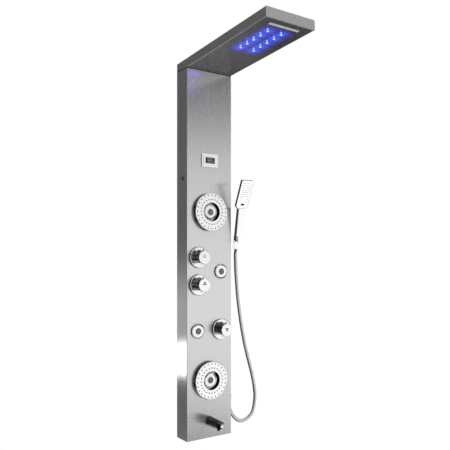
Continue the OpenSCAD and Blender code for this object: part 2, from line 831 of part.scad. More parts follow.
module pipe_run(points, r, ball) {
  last = len(points) - 1;
  inset = sqrt(ball * ball - r * r) * inset_share;
  for (i = [1 : last]) {
    u = unit(points[i] - points[i - 1]);
    pipe(points[i - 1] + (i > 1 ? inset : 0) * u, points[i] - (i < last ? inset : 0) * u, r);
  }
  for (i = [1 : last - 1]) translate(points[i]) sphere(r = ball, $fn = facets);
}

// End of a diverter stub, and the point where its line crosses a given x
function stub_at(angle, plane) = [diverter_x + stub_end * cos(angle), -plane,
  diverter_z + stub_end * sin(angle)];
function stub_line(angle, plane, x) = [x, -plane, diverter_z + (x - diverter_x) * tan(angle)];

module jet_manifold() hang() color(brass) {
  low = [0, -front_plane, lower_spray_z];
  left = [-left_jet_x, -front_plane, left_jet_z];
  right = [right_jet_x, -front_plane, right_jet_z];
  tops = [[0, upper_spray_z], [0, lower_spray_z], [right_jet_x, right_jet_z],
    [-left_jet_x, left_jet_z]];
  pipe(low, [0, -front_plane, upper_spray_z], pipe_r);
  pipe([0, -front_plane, right_jet_z], right, pipe_r);
  pipe([0, -front_plane, left_jet_z], left, pipe_r);
  pipe([0, -front_plane, diverter_z], [diverter_x - stub_end, -front_plane, diverter_z], pipe_r);
  for (p = concat(tops, [[0, right_jet_z], [0, diverter_z]]))
    translate([p[0], -front_plane, p[1]]) sphere(r = hub_r, $fn = facets);
  for (p = tops) on_front(p[0], p[1]) rod(pipe_r, -column_d + front_plane, -jet_end);
}

generator_drop = 212;
generator_z = column_h - generator_drop;
generator_r = 16;
generator_h = 46;
generator_cap_r = 9;
generator_cap = 6;

// The two pipes that rise to the overhead box, with a gap for the flow generator
module riser_tubes() hang() color(white) {
  top_z = head_z(-rear_plane, feed_up);
  rain_end = head_at(chamber_back - stub_l - chamber_r / 2, feed_up);
  fall_turn = head_at(fall_y, feed_up);
  pipe(stub_at(90, rear_plane),
    [rain_lane_x, -rear_plane, generator_z - generator_h / 2 - generator_cap], pipe_r);
  pipe_run([[rain_lane_x, -rear_plane, generator_z + generator_h / 2 + generator_cap],
    [rain_lane_x, -rear_plane, top_z], [rain_lane_x, rain_end[0], rain_end[1]]], pipe_r, hub_r);
  pipe_run([stub_at(50, rear_plane), stub_line(50, rear_plane, fall_lane_x),
    [fall_lane_x, -rear_plane, top_z], [fall_lane_x, fall_turn[0], fall_turn[1]],
    [fall_w / 2 + fall_rim, fall_turn[0], fall_turn[1]]], pipe_r, hub_r);
}

spout_tail = 22;
outlet_tail = 14;
hand_lane_gap = 10;
hand_lane_x = diverter_x + hand_lane_gap;

// The pipes from mixer to diverter, to the spout and to the hose outlet
module link_tubes() hang() color(white) {
  pipe_run([[-tap_x, -rear_plane, cold_z - mixer_end], stub_line(150, rear_plane, -tap_x),
    stub_at(150, rear_plane)], pipe_r, hub_r);
  pipe_run([stub_at(270, front_plane), [diverter_x, -front_plane, spout_z],
    [0, -front_plane, spout_z], [0, front_y + spout_tail, spout_z]], pipe_r, hub_r);
  pipe_run([stub_at(285, rear_plane), stub_line(285, rear_plane, hand_lane_x),
    [hand_lane_x, -rear_plane, outlet_z], [half_w - outlet_tail - sheet_t, -rear_plane, outlet_z]],
    pipe_r, hub_r);
}

module flow_generator() hang() color(black) translate([rain_lane_x, -rear_plane, generator_z]) {
  rod(generator_r, -generator_h / 2, generator_h / 2);
  rod(generator_cap_r, -generator_h / 2 - generator_cap, generator_h / 2 + generator_cap);
  rotate([0, -90, 0]) rod(lead_gland_r, 0, generator_r + lead_gland_l);
}

lead_r = 1.6;
lead_ball_r = 2;
lead_gland_r = 3.5;
lead_gland_l = 4;
lead_gap = 0.2;
lead_up = 2 * sheet_t + lead_ball_r + lead_gap;
lead_x = 18;
lead_back = 14;

// Leads from the generator to the display and to the two lamp strips
module lamp_leads() hang() color(black) {
  gland_y = front_y + module_d + lead_gland_l;
  strip_y = head_at(lamp_ys[0] - strip_end, lead_up);
  cross_y = head_at(chamber_back - lead_back, lead_up);
  pipe_run([[rain_lane_x - generator_r - lead_gland_l, -rear_plane, generator_z],
    [lead_x, -rear_plane, generator_z], [lead_x, -rear_plane, head_z(-rear_plane, lead_up)],
    [lead_x, cross_y[0], cross_y[1]]], lead_r, lead_ball_r);
  pipe_run([[lamp_x, strip_y[0], strip_y[1]], [lamp_x, cross_y[0], cross_y[1]],
    [-lamp_x, cross_y[0], cross_y[1]], [-lamp_x, strip_y[0], strip_y[1]]], lead_r, lead_ball_r);
  pipe_run([[lead_x, gland_y, display_z], [lead_x, gland_y + lead_back, display_z],
    [lead_x, gland_y + lead_back, generator_z - lead_back], [lead_x, -rear_plane, generator_z]],
    lead_r, lead_ball_r);
}

// Tub spout: a tapering round bar with a rounded nose and a short outlet under its tip

nose_steps = 10;
spout_root_t = 4;
spout_bore_r = 8;
outlet_back = 22;
outlet_r = 9;
outlet_bore_r = 7;
outlet_drop = 19;
nose_l = 17;

module spout_profile() {
  nose_r = spout_tip_d / 2;
  polygon(concat([[0, 0], [spout_root_d / 2, 0], [spout_root_d / 2, spout_root_t]],
    [for (i = [0 : nose_steps]) [nose_r * cos(i * 90 / nose_steps),
      spout_reach - nose_l + nose_l * sin(i * 90 / nose_steps)]]));
}

module tub_spout() hang() color(chrome) on_front(0, spout_z) difference() {
  union() {
    rotate_extrude($fn = facets) spout_profile();
    translate([0, 0, spout_reach - outlet_back]) rotate([90, 0, 0]) rod(outlet_r, 0, outlet_drop);
    rod(thread_r, -spout_tail, 0);
  }
  rod(spout_bore_r, -spout_tail + sheet_t, spout_reach - outlet_back);
  translate([0, 0, spout_reach - outlet_back]) rotate([90, 0, 0])
    rod(outlet_bore_r, 0, outlet_drop + overrun);
}

aerator_t = 6;
aerator_wall = 1.2;
aerator_floor = 2;
aerator_hole_r = 1;

module spout_aerator() hang() color(seal_grey) on_front(0, spout_z)
  translate([0, -outlet_drop, spout_reach - outlet_back]) rotate([-90, 0, 0]) difference() {
    rod(outlet_bore_r - press, 0, aerator_t);
    rod(outlet_bore_r - press - aerator_wall, -overrun, aerator_t - aerator_floor);
    for (i = [0 : 5]) rotate([0, 0, i * 60]) translate([outlet_bore_r / 2, 0, 0])
      rod(aerator_hole_r, -overrun, aerator_t + overrun, 16);
    rod(aerator_hole_r, -overrun, aerator_t + overrun, 16);
  }

tail_nut_r = 16;
tail_nut_t = 7;

module tail_nuts() hang() color(brass) {
  on_front(0, spout_z) hex_ring(tail_nut_r, thread_r + press, -sheet_t - tail_nut_t, -sheet_t);
  translate([inner_x, -rear_plane, outlet_z]) rotate([0, 90, 0])
    hex_ring(tail_nut_r, thread_r + press, -tail_nut_t, 0);
}

// Hose outlet: an elbow on the column's side that turns down into the hose nut

elbow_flange_r = 15;
elbow_flange_t = 3;
elbow_pipe_r = 9;
elbow_drop = 16;
elbow_thread_l = 10;
hose_nut_r = 12.5;
hose_nut_l = 18;
hose_nut_wall = 4;
hand_x = half_w + hand_out;
hose_low_z = outlet_z - elbow_drop - hose_nut_l;

module hose_outlet() hang() color(chrome) translate([0, -rear_plane, outlet_z]) difference() {
  union() {
    rotate([0, 90, 0]) {
      rod(thread_r, half_w - sheet_t - outlet_tail, half_w);
      rod(elbow_flange_r, half_w, half_w + elbow_flange_t);
      rod(elbow_pipe_r, half_w, hand_x);
    }
    translate([hand_x, 0, 0]) {
      sphere(r = elbow_pipe_r, $fn = facets);
      rod(elbow_pipe_r, -elbow_drop, 0);
      rod(thread_r, -elbow_drop - elbow_thread_l, -elbow_drop);
    }
  }
  translate([hand_x, 0, 0])
    rod(pipe_r, -elbow_drop - elbow_thread_l - overrun, -elbow_drop / 2);
}

module hose_nut() hang() color(chrome) translate([hand_x, -rear_plane, hose_low_z]) difference() {
  rotate_extrude($fn = facets) polygon([[0, 0], [hose_d / 2 + overrun, 0],
    [hose_nut_r, hose_nut_wall], [hose_nut_r, hose_nut_l], [0, hose_nut_l]]);
  rod(thread_r + press, hose_nut_l - elbow_thread_l - loose, hose_nut_l + overrun);
  rod(hose_bore_r, -overrun, hose_nut_l);
}

// Hose: a ribbed metal tube that hangs in one loop from the conical nut to the outlet

hose_bore_r = 4;
rib_count = 190;
rib_depth = 0.9;
hose_sides = 8;
bore_rings = 60;
curve_steps = 8;
hand_foot = [hand_x, front_y, hand_z];
hand_down = [0, sin(hand_lean), -cos(hand_lean)];
outlet_foot = [hand_x, -rear_plane, hose_low_z];
// Middle of the hose, from under the holder round the loop to below the outlet
hose_route = [[126, -67, 660], [132, -62, 612], [147, -54, 516], [167, -47, 420],
  [186, -42, 346], [203, -38, 293], [220, -36, 242], [238, -33, 183], [248, -31, 130],
  [248, -29, 92], [240, -28, 57], [225, -27, 37], [202, -26, 25], [178, -25, 24],
  [158, -24, 35], [139, -23, 57], [127, -22, 84]];
route = concat([hand_foot, hand_foot + hose_d * hand_down], hose_route,
  [outlet_foot - [0, 0, hose_d], outlet_foot]);

// A smooth curve through four points in a row, between the middle two
function curve(p, t) = 0.5 * (2 * p[1] + (p[2] - p[0]) * t
  + (2 * p[0] - 5 * p[1] + 4 * p[2] - p[3]) * t * t
  + (3 * p[1] - p[0] - 3 * p[2] + p[3]) * t * t * t);
function four(points, i) = [for (k = [-1 : 2]) points[max(0, min(len(points) - 1, i + k))]];
fine_route = concat([for (i = [0 : len(route) - 2]) for (k = [0 : curve_steps - 1])
  curve(four(route, i), k / curve_steps)], [route[len(route) - 1]]);
route_along = [for (i = 0, s = 0; i < len(fine_route);
  s = s + (i + 1 < len(fine_route) ? norm(fine_route[i + 1] - fine_route[i]) : 0), i = i + 1) s];
hose_l = route_along[len(route_along) - 1];
route_tables = [for (k = [0 : 2]) [for (i = [0 : len(fine_route) - 1])
  [route_along[i], fine_route[i][k]]]];
function hose_at(s) = [for (k = [0 : 2]) lookup(s, route_tables[k])];
function hose_way(s) = unit(hose_at(min(hose_l, s + hose_d / 4)) - hose_at(max(0, s - hose_d / 4)));

// A ring of points about the hose, a given way along and of a given radius
function hose_ring(s, r, way) = let (n = unit(cross(way, [0, 1, 0])), m = cross(way, n))
  [for (k = [0 : hose_sides - 1]) hose_at(s) + r * (n * cos(k * 360 / hose_sides)
    + m * sin(k * 360 / hose_sides))];
rib_pitch = (hose_l - 2 * hose_d) / rib_count;
hose_crests = concat([[0, hose_d / 2]], [for (i = [0 : rib_count - 1]) for (h = [0, 1])
  [hose_d + (i + h / 2) * rib_pitch, hose_d / 2 - (1 - h) * rib_depth]],
  [[hose_l - hose_d, hose_d / 2 - rib_depth], [hose_l, hose_d / 2]]);
function end_way(s) = s < hose_d ? hand_down : s > hose_l - hose_d ? [0, 0, 1] : hose_way(s);

// Faces between ring i and ring i + 1 of a run of rings that starts at a given point
function band(first, i) = [for (k = [0 : hose_sides - 1]) let (j = (k + 1) % hose_sides,
  a = first + i * hose_sides) each [[a + k, a + j, a + hose_sides + j],
  [a + k, a + hose_sides + j, a + hose_sides + k]]];
function flip(faces) = [for (f = faces) [f[2], f[1], f[0]]];

module shower_hose() hang() color(hose_white) {
  outer = [for (c = hose_crests) each hose_ring(c[0], c[1], end_way(c[0]))];
  inner = [for (i = [0 : bore_rings - 1]) let (s = i * hose_l / (bore_rings - 1))
    each hose_ring(s, hose_bore_r, end_way(s))];
  base = len(outer);
  top_out = base - hose_sides;
  top_in = base + len(inner) - hose_sides;
  rings = len(hose_crests);
  ends = [for (k = [0 : hose_sides - 1]) let (j = (k + 1) % hose_sides)
    each [[k, base + j, j], [k, base + k, base + j],
      [top_out + k, top_out + j, top_in + j], [top_out + k, top_in + j, top_in + k]]];
  polyhedron(concat(outer, inner), concat([for (i = [0 : rings - 2]) each band(0, i)],
    flip([for (i = [0 : bore_rings - 2]) each band(base, i)]), ends), convexity = 10);
}

// Hand shower: a conical nut in the holder, a handle that swivels on it, and the spray head

cone_low_r = 8.5;
cone_straight = 6;
cone_high_r = 12;
cone_top = 40;
cone_rim = 5;
swivel_r = 6;
swivel_top = 54;
swivel_bore_r = 3.5;

// Local frame of the hand shower: +Z up the handle from the hose and -Y to the user
module in_hand() {
  translate(hand_foot) rotate([hand_lean, 0, 0]) children();
}

module hose_cone() hang() color(chrome) in_hand() difference() {
  union() {
    rotate_extrude($fn = facets) polygon([[0, 0], [cone_low_r, 0], [cone_low_r, cone_straight],
      [cone_high_r, cone_top - cone_rim], [cone_high_r, cone_top], [0, cone_top]]);
    rod(swivel_r, cone_top - cone_rim, swivel_top);
  }
  rod(swivel_bore_r, -overrun, swivel_top + overrun);
}

// Holder: a round cup on the column's side, slotted to the right, with a lug in front

holder_low = 8;
holder_high = 37;
holder_mid_z = hand_z + (holder_low + holder_high) / 2 * cos(hand_lean);
holder_wall = 3.4;
holder_r = cone_high_r + holder_wall;
lug_w = 12;
lug_t = 3;
lug_gap = 1.2;
lug_up = 18;
lug_root = 6;
slot_w = hose_d + 1.5;
base_t = 4;
base_d = 36;
base_round = 4;
holder_screw_depth = 10;
arm_w = 14;

// Radius of the conical nut a given height above its lower end
function cone_r(z) = cone_low_r + (cone_high_r - cone_low_r)
  * (z - cone_straight) / (cone_top - cone_rim - cone_straight);

module holder_bracket() hang() color(chrome) {
  lug_y = -norm([handle_low_w, handle_t]) / 2 - lug_gap;
  difference() {
    union() {
      in_hand() {
        rod(holder_r, holder_low, holder_high);
        translate([-lug_w / 2, lug_y - lug_t, holder_high - lug_root])
          cube([lug_w, lug_t, lug_root + lug_up]);
        translate([-lug_w / 2, lug_y - lug_t, holder_high - lug_root])
          cube([lug_w, holder_r - lug_y / 2 + lug_t, lug_root]);
      }
      translate([half_w, holder_base_y - base_d / 2, holder_mid_z - holder_base_h / 2])
        cube([base_t, base_d, holder_base_h]);
      translate([half_w, front_y, holder_mid_z - arm_w])
        cube([hand_out, holder_base_y - front_y + arm_w / 2, 2 * arm_w]);
    }
    in_hand() {
      translate([0, 0, holder_low - overrun]) cylinder(r1 = cone_r(holder_low - overrun) + loose,
        r2 = cone_r(holder_high + overrun) + loose, h = holder_high - holder_low + 2 * overrun,
        $fn = facets);
      rod(cone_r(holder_low) + loose, -cone_top, holder_low);
      translate([0, -slot_w / 2, holder_low - overrun])
        cube([2 * holder_r, slot_w, holder_high - holder_low + 2 * overrun]);
    }
    translate([-2 * half_w + half_w, front_y - panel_w, 0]) cube([2 * half_w, 3 * panel_w, column_h]);
    for (s = [-1, 1]) translate([half_w, holder_base_y, holder_mid_z + s * holder_screw_dz])
      rotate([0, 90, 0]) rod(screw_r + running, -overrun, holder_screw_depth + loose);
  }
}

face_z = cone_top + handle_l;
shell_low = cone_top + loose;
throat = 10;
shoulder = 12;
head_round = 6;
face_inset = 3;
face_t = 2;
face_lip = 0.8;
nub_cols = 6;
nub_lines = 9;
handset_nub_r = 1.4;
handset_nub_up = 0.8;
button_w = 15;
button_h = 7;
button_up = 1.6;
button_travel = 1.5;
button_z = 10;
grid_margin = 9;
grid_low = 24;
handle_round = 5;
slice = 1;

// Spray head in front view, from its throat on the handle up
module head_outline_2d(inset) {
  w = hand_face_w / 2 - inset;
  polygon([[-handle_w / 2 + inset, -throat + inset], [handle_w / 2 - inset, -throat + inset],
    [w, shoulder - throat + inset], [w, hand_face_l - head_round - inset],
    [w - head_round, hand_face_l - inset], [-w + head_round, hand_face_l - inset],
    [-w, hand_face_l - head_round - inset], [-w, shoulder - throat + inset]]);
  for (x = [-1, 1]) translate([x * (w - head_round), hand_face_l - head_round - inset])
    circle(r = head_round, $fn = facets);
}

// Local frame of the spray head: X across, Y up along it, and +Z out of its face
module in_face() {
  in_hand() translate([0, -handle_t / 2, face_z]) rotate([90 + face_lean, 0, 0]) children();
}

module handset_shell() hang() color(chrome) difference() {
  union() {
    in_hand() hull() {
      translate([0, 0, shell_low]) linear_extrude(slice)
        round_rect(handle_low_w - 2 * slice, handle_t - 2 * slice, handle_round);
      translate([0, 0, shell_low + slice]) linear_extrude(slice)
        round_rect(handle_low_w, handle_t, handle_round);
      translate([0, 0, face_z - slice]) linear_extrude(slice)
        round_rect(handle_w, handle_t, handle_round);
    }
    in_face() hull() {
      translate([0, 0, -slice]) linear_extrude(slice) head_outline_2d(slice);
      translate([0, 0, -hand_face_t + face_inset]) linear_extrude(hand_face_t - face_inset - slice)
        head_outline_2d(0);
      translate([0, 0, -hand_face_t - face_inset]) linear_extrude(slice)
        head_outline_2d(head_round);
    }
  }
  in_hand() rod(swivel_r + running, shell_low - overrun, swivel_top + loose);
  in_face() {
    translate([0, 0, -face_t]) linear_extrude(face_t + overrun) head_outline_2d(face_inset);
    translate([0, button_z, -face_t - button_travel - loose])
      linear_extrude(face_t + button_travel + loose + overrun)
      square([button_w + 2 * loose, button_h + 2 * loose], center = true);
  }
}

module each_handset_nub() {
  dx = (hand_face_w - 2 * face_inset - 2 * grid_margin) / (nub_cols - 1);
  dy = (hand_face_l - face_inset - grid_margin - grid_low) / (nub_lines - 1);
  for (i = [0 : nub_cols - 1]) for (j = [0 : nub_lines - 1])
    if (j > 1 || i < 2 || i > nub_cols - 3)
      translate([(i - (nub_cols - 1) / 2) * dx, grid_low + j * dy, 0]) children();
}

module handset_face() hang() color(white) in_face() difference() {
  translate([0, 0, -face_t]) linear_extrude(face_t - face_lip) head_outline_2d(face_inset + press);
  each_handset_nub() rod(handset_nub_r + press, -face_t - overrun, overrun, 16);
  translate([0, button_z, -face_t - overrun]) linear_extrude(face_t + 2 * overrun)
    square([button_w + 2 * loose, button_h + 2 * loose], center = true);
}

module handset_nozzles() hang() color(seal_grey) in_face() each_handset_nub() difference() {
  union() {
    rod(handset_nub_r, -face_t, -face_lip, 16);
    translate([0, 0, -face_lip])
      cylinder(r1 = handset_nub_r, r2 = handset_nub_r * 0.7, h = handset_nub_up, $fn = 16);
  }
  rod(handset_nub_r / 3, -face_t / 2, overrun, 16);
}

module handset_button() hang() color(seal_grey) in_face() translate([0, button_z, -face_t])
  linear_extrude(face_t - face_lip + button_up) round_rect(button_w, button_h, button_h / 4);

module side_plug() hang() color(black) translate([0, front_y + plug_back, plug_z])
  rotate([0, -90, 0]) {
    rod(plug_r, half_w, half_w + plug_head_t);
    rod(plug_stem_r - press, inner_x - plug_head_t, half_w);
  }

// Wall brackets: a plate for two screws with a hook along its top
module wall_brackets() hang() color(steel) for (z = [upper_bracket_z, lower_bracket_z])
  translate([0, 0, z]) difference() {
    along_x(bracket_w) {
      translate([-hook_t, -bracket_h / 2]) square([hook_t, bracket_h]);
      translate([-hook_reach - hook_t, bracket_h / 2 - hook_t]) square([hook_reach + hook_t, hook_t]);
      translate([-hook_reach - hook_t, bracket_h / 2 - hook_t]) square([hook_t, hook_up + hook_t]);
    }
    for (x = [-1, 1]) translate([x * bracket_pitch / 2, 0, 0]) rotate([90, 0, 0])
      rod(bracket_hole_d / 2, -overrun, hook_t + overrun);
  }

column_casing();
head_casing();
case_screws();
rain_plate();
rain_nozzles();
rain_chamber();
lamp_lenses();
lamp_strips();
waterfall_outlet();
display_frame();
display_lens();
display_module();
upper_body_spray();
lower_body_spray();
spray_nozzles();
jet_collars();
jet_nuts();
upper_jet_seat();
upper_jet_ball();
upper_jet_nozzle();
lower_jet_seat();
lower_jet_ball();
lower_jet_nozzle();
right_jet_seat();
right_jet_ball();
right_jet_nozzle();
left_jet_seat();
left_jet_ball();
left_jet_nozzle();
knob_flanges();
valve_nuts();
hot_knob();
hot_spindle();
cold_knob();
cold_spindle();
diverter_knob();
diverter_spindle();
mixer_body();
diverter_body();
jet_manifold();
riser_tubes();
link_tubes();
flow_generator();
lamp_leads();
tub_spout();
spout_aerator();
tail_nuts();
hose_outlet();
hose_nut();
shower_hose();
hose_cone();
handset_shell();
handset_face();
handset_nozzles();
handset_button();
holder_bracket();
side_plug();
wall_brackets();
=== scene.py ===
# Shower panel column, dressed for looks. Metres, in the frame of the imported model: the origin is
# between the upper bracket's screw holes on the wall, +Z is up and -Y points to the bather.
import json
import math

import bpy
import bmesh
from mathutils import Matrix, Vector


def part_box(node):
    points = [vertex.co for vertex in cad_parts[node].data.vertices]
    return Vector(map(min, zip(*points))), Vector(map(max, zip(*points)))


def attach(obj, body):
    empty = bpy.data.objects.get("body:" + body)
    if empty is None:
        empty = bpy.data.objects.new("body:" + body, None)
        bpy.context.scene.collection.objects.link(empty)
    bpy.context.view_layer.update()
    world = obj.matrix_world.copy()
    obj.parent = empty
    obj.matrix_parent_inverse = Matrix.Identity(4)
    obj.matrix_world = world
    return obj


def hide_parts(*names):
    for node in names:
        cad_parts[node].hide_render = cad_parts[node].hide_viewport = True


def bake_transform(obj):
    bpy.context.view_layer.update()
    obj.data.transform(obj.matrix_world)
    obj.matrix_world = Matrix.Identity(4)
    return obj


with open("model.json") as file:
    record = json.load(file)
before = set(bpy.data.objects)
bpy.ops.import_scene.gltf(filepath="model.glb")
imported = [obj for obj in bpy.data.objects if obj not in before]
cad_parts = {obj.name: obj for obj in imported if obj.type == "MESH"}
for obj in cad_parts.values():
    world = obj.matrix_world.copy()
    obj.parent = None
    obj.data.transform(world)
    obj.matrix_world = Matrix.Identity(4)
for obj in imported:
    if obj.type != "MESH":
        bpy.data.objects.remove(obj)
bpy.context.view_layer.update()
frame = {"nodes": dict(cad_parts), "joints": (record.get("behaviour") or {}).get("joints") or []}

# Camera: the panel is seen from its front left at the height of the body sprays, level, so the
# column's uprights stay upright and the view is raised by a small lens shift. Its place and lens
# were solved from the edges of the column and the overhead box.
scene = bpy.context.scene
eye = bpy.data.cameras.new("studio_camera")
eye.sensor_width = 36.0
eye.lens = 46.286
eye.shift_y = 0.0689
eye.clip_end = 60.0
camera = bpy.data.objects.new("studio_camera", eye)
camera.location = (-1.1888, -1.9274, -0.5997)
camera.rotation_euler = (math.radians(90.0), 0.0, math.radians(-34.2))
scene.collection.objects.link(camera)
scene.camera = camera
scene.view_settings.view_transform = "Standard"

# Room: a white studio. Metal mirrors a wide white screen in front and on the right, which dims
# towards its top for the column's upper end and has a dark gap low down for the rain plate, and
# unlit walls behind and on the left, with one low lit strip and a few pale marks.
screen_side = (0.75, -0.66, 0.0)
screen_border = (-0.2, 0.45)
screen_tones = (  # rise of a direction, from -1 straight down to 1 straight up, and its tone
    (-1.0, 0.5), (-0.60, 1.0), (-0.56, 1.15), (-0.455, 1.15), (-0.44, 0.0), (-0.325, 0.0),
    (-0.305, 1.1), (-0.20, 1.0), (-0.08, 1.12), (0.05, 0.93), (0.112, 0.88), (0.173, 0.85),
    (0.19, 0.60), (0.212, 0.42), (0.244, 0.26), (0.267, 0.10), (0.29, 0.0), (0.35, 0.0),
    (0.37, 0.75), (0.45, 0.45), (1.0, 0.45))
soft_light = 0.55
ceiling_tone = 0.9
ceiling_rise = (0.52, 0.64)
dark_wall = 0.06
pale_marks = 0.35
mark_scale = 4.5
mark_edge = (0.56, 0.68)
strip_side = (-0.56, 0.83, 0.0)
strip_width = (0.70, 0.97)
strip_glow = 0.5
strip_rise = -0.10
strip_tall = (0.02, 0.10)


def add(tree, kind, feeds=(), **settings):
    """A node with its settings; feeds gives its inputs, as values or as other nodes' outputs."""
    node = tree.nodes.new("ShaderNode" + kind)
    for setting, value in settings.items():
        setattr(node, setting, value)
    for socket, feed in dict(feeds).items():
        if isinstance(feed, bpy.types.NodeSocket):
            tree.links.new(feed, node.inputs[socket])
        else:
            node.inputs[socket].default_value = feed
    return node


def reckon(tree, operation, *terms):
    return add(tree, "Math", enumerate(terms), operation=operation).outputs[0]


def facing(tree, direction, towards):
    """How far a direction points towards a side, from -1 to 1."""
    return add(tree, "VectorMath", {0: direction, 1: towards},
               operation="DOT_PRODUCT").outputs["Value"]


def edge(tree, term, limits, ends=(0.0, 1.0), curve="SMOOTHSTEP"):
    """Goes from the first end to the second as the term passes between its limits."""
    return add(tree, "MapRange", {"Value": term, "From Min": limits[0], "From Max": limits[1],
                                  "To Min": ends[0], "To Max": ends[1]},
               interpolation_type=curve).outputs["Result"]


def tones(tree, term, *stops):
    """Colours that a term picks, each stop being the term's value and the colour there."""
    picker = add(tree, "ValToRGB", {"Fac": term})
    elements = picker.color_ramp.elements
    while len(elements) > 1:
        elements.remove(elements[-1])
    for k, (place, colour) in enumerate(stops):
        stop = elements.new(place) if k else elements[0]
        stop.position = place
        stop.color = (*colour, 1.0)
    return picker.outputs["Color"]


room = bpy.data.worlds.new("studio_room")
scene.world = room
room.use_nodes = True
tree = room.node_tree
tree.nodes.clear()
way = add(tree, "TexCoord").outputs["Generated"]
rise = facing(tree, way, (0.0, 0.0, 1.0))
on_screen = edge(tree, facing(tree, way, screen_side), screen_border)
off_screen = reckon(tree, "SUBTRACT", 1.0, on_screen)
screen = tones(tree, reckon(tree, "MULTIPLY_ADD", rise, 0.5, 0.5),
               *(((height + 1.0) / 2.0, (tone,) * 3) for height, tone in screen_tones))
noise = add(tree, "TexNoise", {"Vector": way, "Scale": mark_scale, "Detail": 2.0}).outputs["Fac"]
wall = reckon(tree, "MULTIPLY_ADD", edge(tree, noise, mark_edge), pale_marks, dark_wall)
from_strip = reckon(tree, "ABSOLUTE", reckon(tree, "SUBTRACT", rise, strip_rise))
strip = reckon(tree, "MULTIPLY", edge(tree, facing(tree, way, strip_side), strip_width),
               edge(tree, from_strip, strip_tall, (strip_glow, 0.0)))
around = reckon(tree, "ADD", reckon(tree, "MULTIPLY", screen, on_screen),
                reckon(tree, "ADD", reckon(tree, "MULTIPLY", wall, off_screen), strip))

# Foot of the screen: a dimmer stretch above its dark gap, on one side only. The foot of the
# column's front mirrors it; the hand shower's handle mirrors the bright stretch beside it.
foot_side = (0.812, 0.584, 0.0)
foot_border = (-0.012, 0.004)
foot_top = (-0.262, -0.246)
foot_bottom = (-0.34, -0.32)
foot_dimming = -0.6
foot = reckon(tree, "MULTIPLY", edge(tree, facing(tree, way, foot_side), foot_border, (1.0, 0.0)),
              reckon(tree, "MULTIPLY", edge(tree, rise, foot_top, (1.0, 0.0)),
                     edge(tree, rise, foot_bottom)))
around = reckon(tree, "MULTIPLY", around, reckon(tree, "MULTIPLY_ADD", foot, foot_dimming, 1.0))

# The camera sees plain white, metal mirrors the screen and the walls, and all else is lit by an
# even soft light, so that a colour shows about as it is written.
mirrored = reckon(tree, "MAXIMUM", around, edge(tree, rise, ceiling_rise, (0.0, ceiling_tone)))
path = add(tree, "LightPath")
white, rosy_white = (1.0, 1.0, 1.0, 1.0), (1.0, 0.995, 1.0, 1.0)
for_light, for_metal, for_camera = (
    add(tree, "Background", {"Color": colour, "Strength": strength}).outputs["Background"]
    for colour, strength in ((white, soft_light), (rosy_white, mirrored), (white, 1.0)))
indoors = add(tree, "MixShader", {"Fac": path.outputs["Is Glossy Ray"], 1: for_light,
                                  2: for_metal}).outputs["Shader"]
whole_room = add(tree, "MixShader", {"Fac": path.outputs["Is Camera Ray"], 1: indoors,
                                     2: for_camera}).outputs["Shader"]
add(tree, "OutputWorld", {"Surface": whole_room})


# Lamps of the studio: a wide soft box in front on the right, a weaker one on the left, and a
# small low one behind the left side, which only the column's flank mirrors.
def hang_lamp(name, kind, place, aim=None, mirrored=False, **settings):
    """A lamp that the camera doesn't see, and that metal shows only if it is mirrored."""
    lamp = bpy.data.lights.new(name, kind)
    for setting, value in settings.items():
        setattr(lamp, setting, value)
    stand = bpy.data.objects.new(name, lamp)
    stand.location = place
    if aim is not None:
        stand.rotation_euler = (Vector(aim) - Vector(place)).to_track_quat("-Z", "Y").to_euler()
    stand.visible_camera = False
    stand.visible_glossy = mirrored
    scene.collection.objects.link(stand)
    return stand


mid_column = (0.0, 0.0, -0.6)
hang_lamp("soft_box_right", "AREA", place=(2.6, -3.4, 1.2), aim=mid_column, size=2.4,
          energy=60.0)
hang_lamp("soft_box_left", "AREA", place=(-3.2, -2.4, -0.4), aim=mid_column, size=2.0,
          energy=12.0)
hang_lamp("flank_light", "AREA", place=(-0.40, 0.36, -1.075), aim=(-0.10, -0.04, -1.0),
          mirrored=True, size=0.16, energy=0.28)

# Floor: a plain pale ground a metre below the panel's foot, which takes its shadow. Only the
# camera sees it glow a little, so that it joins the white room and lights nothing.
floor_z, floor_left, floor_right, floor_front, floor_back = -2.35, -2.6, 2.6, -2.6, 1.2
floor_tone = 0.86
floor_glow = 0.42
ground = bpy.data.meshes.new("floor")
ground.from_pydata([(floor_left, floor_front, floor_z), (floor_right, floor_front, floor_z),
                    (floor_right, floor_back, floor_z), (floor_left, floor_back, floor_z)],
                   [], [(0, 1, 2, 3)])
floor = bpy.data.objects.new("floor", ground)
scene.collection.objects.link(floor)
pale = bpy.data.materials.new("pale_floor")
pale.use_nodes = True
tree = pale.node_tree
surface = tree.nodes["Principled BSDF"]
surface.inputs["Base Color"].default_value = (*(floor_tone,) * 3, 1.0)
surface.inputs["Roughness"].default_value = 0.9
surface.inputs["Emission Color"].default_value = (*(floor_glow,) * 3, 1.0)
tree.links.new(add(tree, "LightPath").outputs["Is Camera Ray"],
               surface.inputs["Emission Strength"])
ground.materials.append(pale)
floor.visible_glossy = False

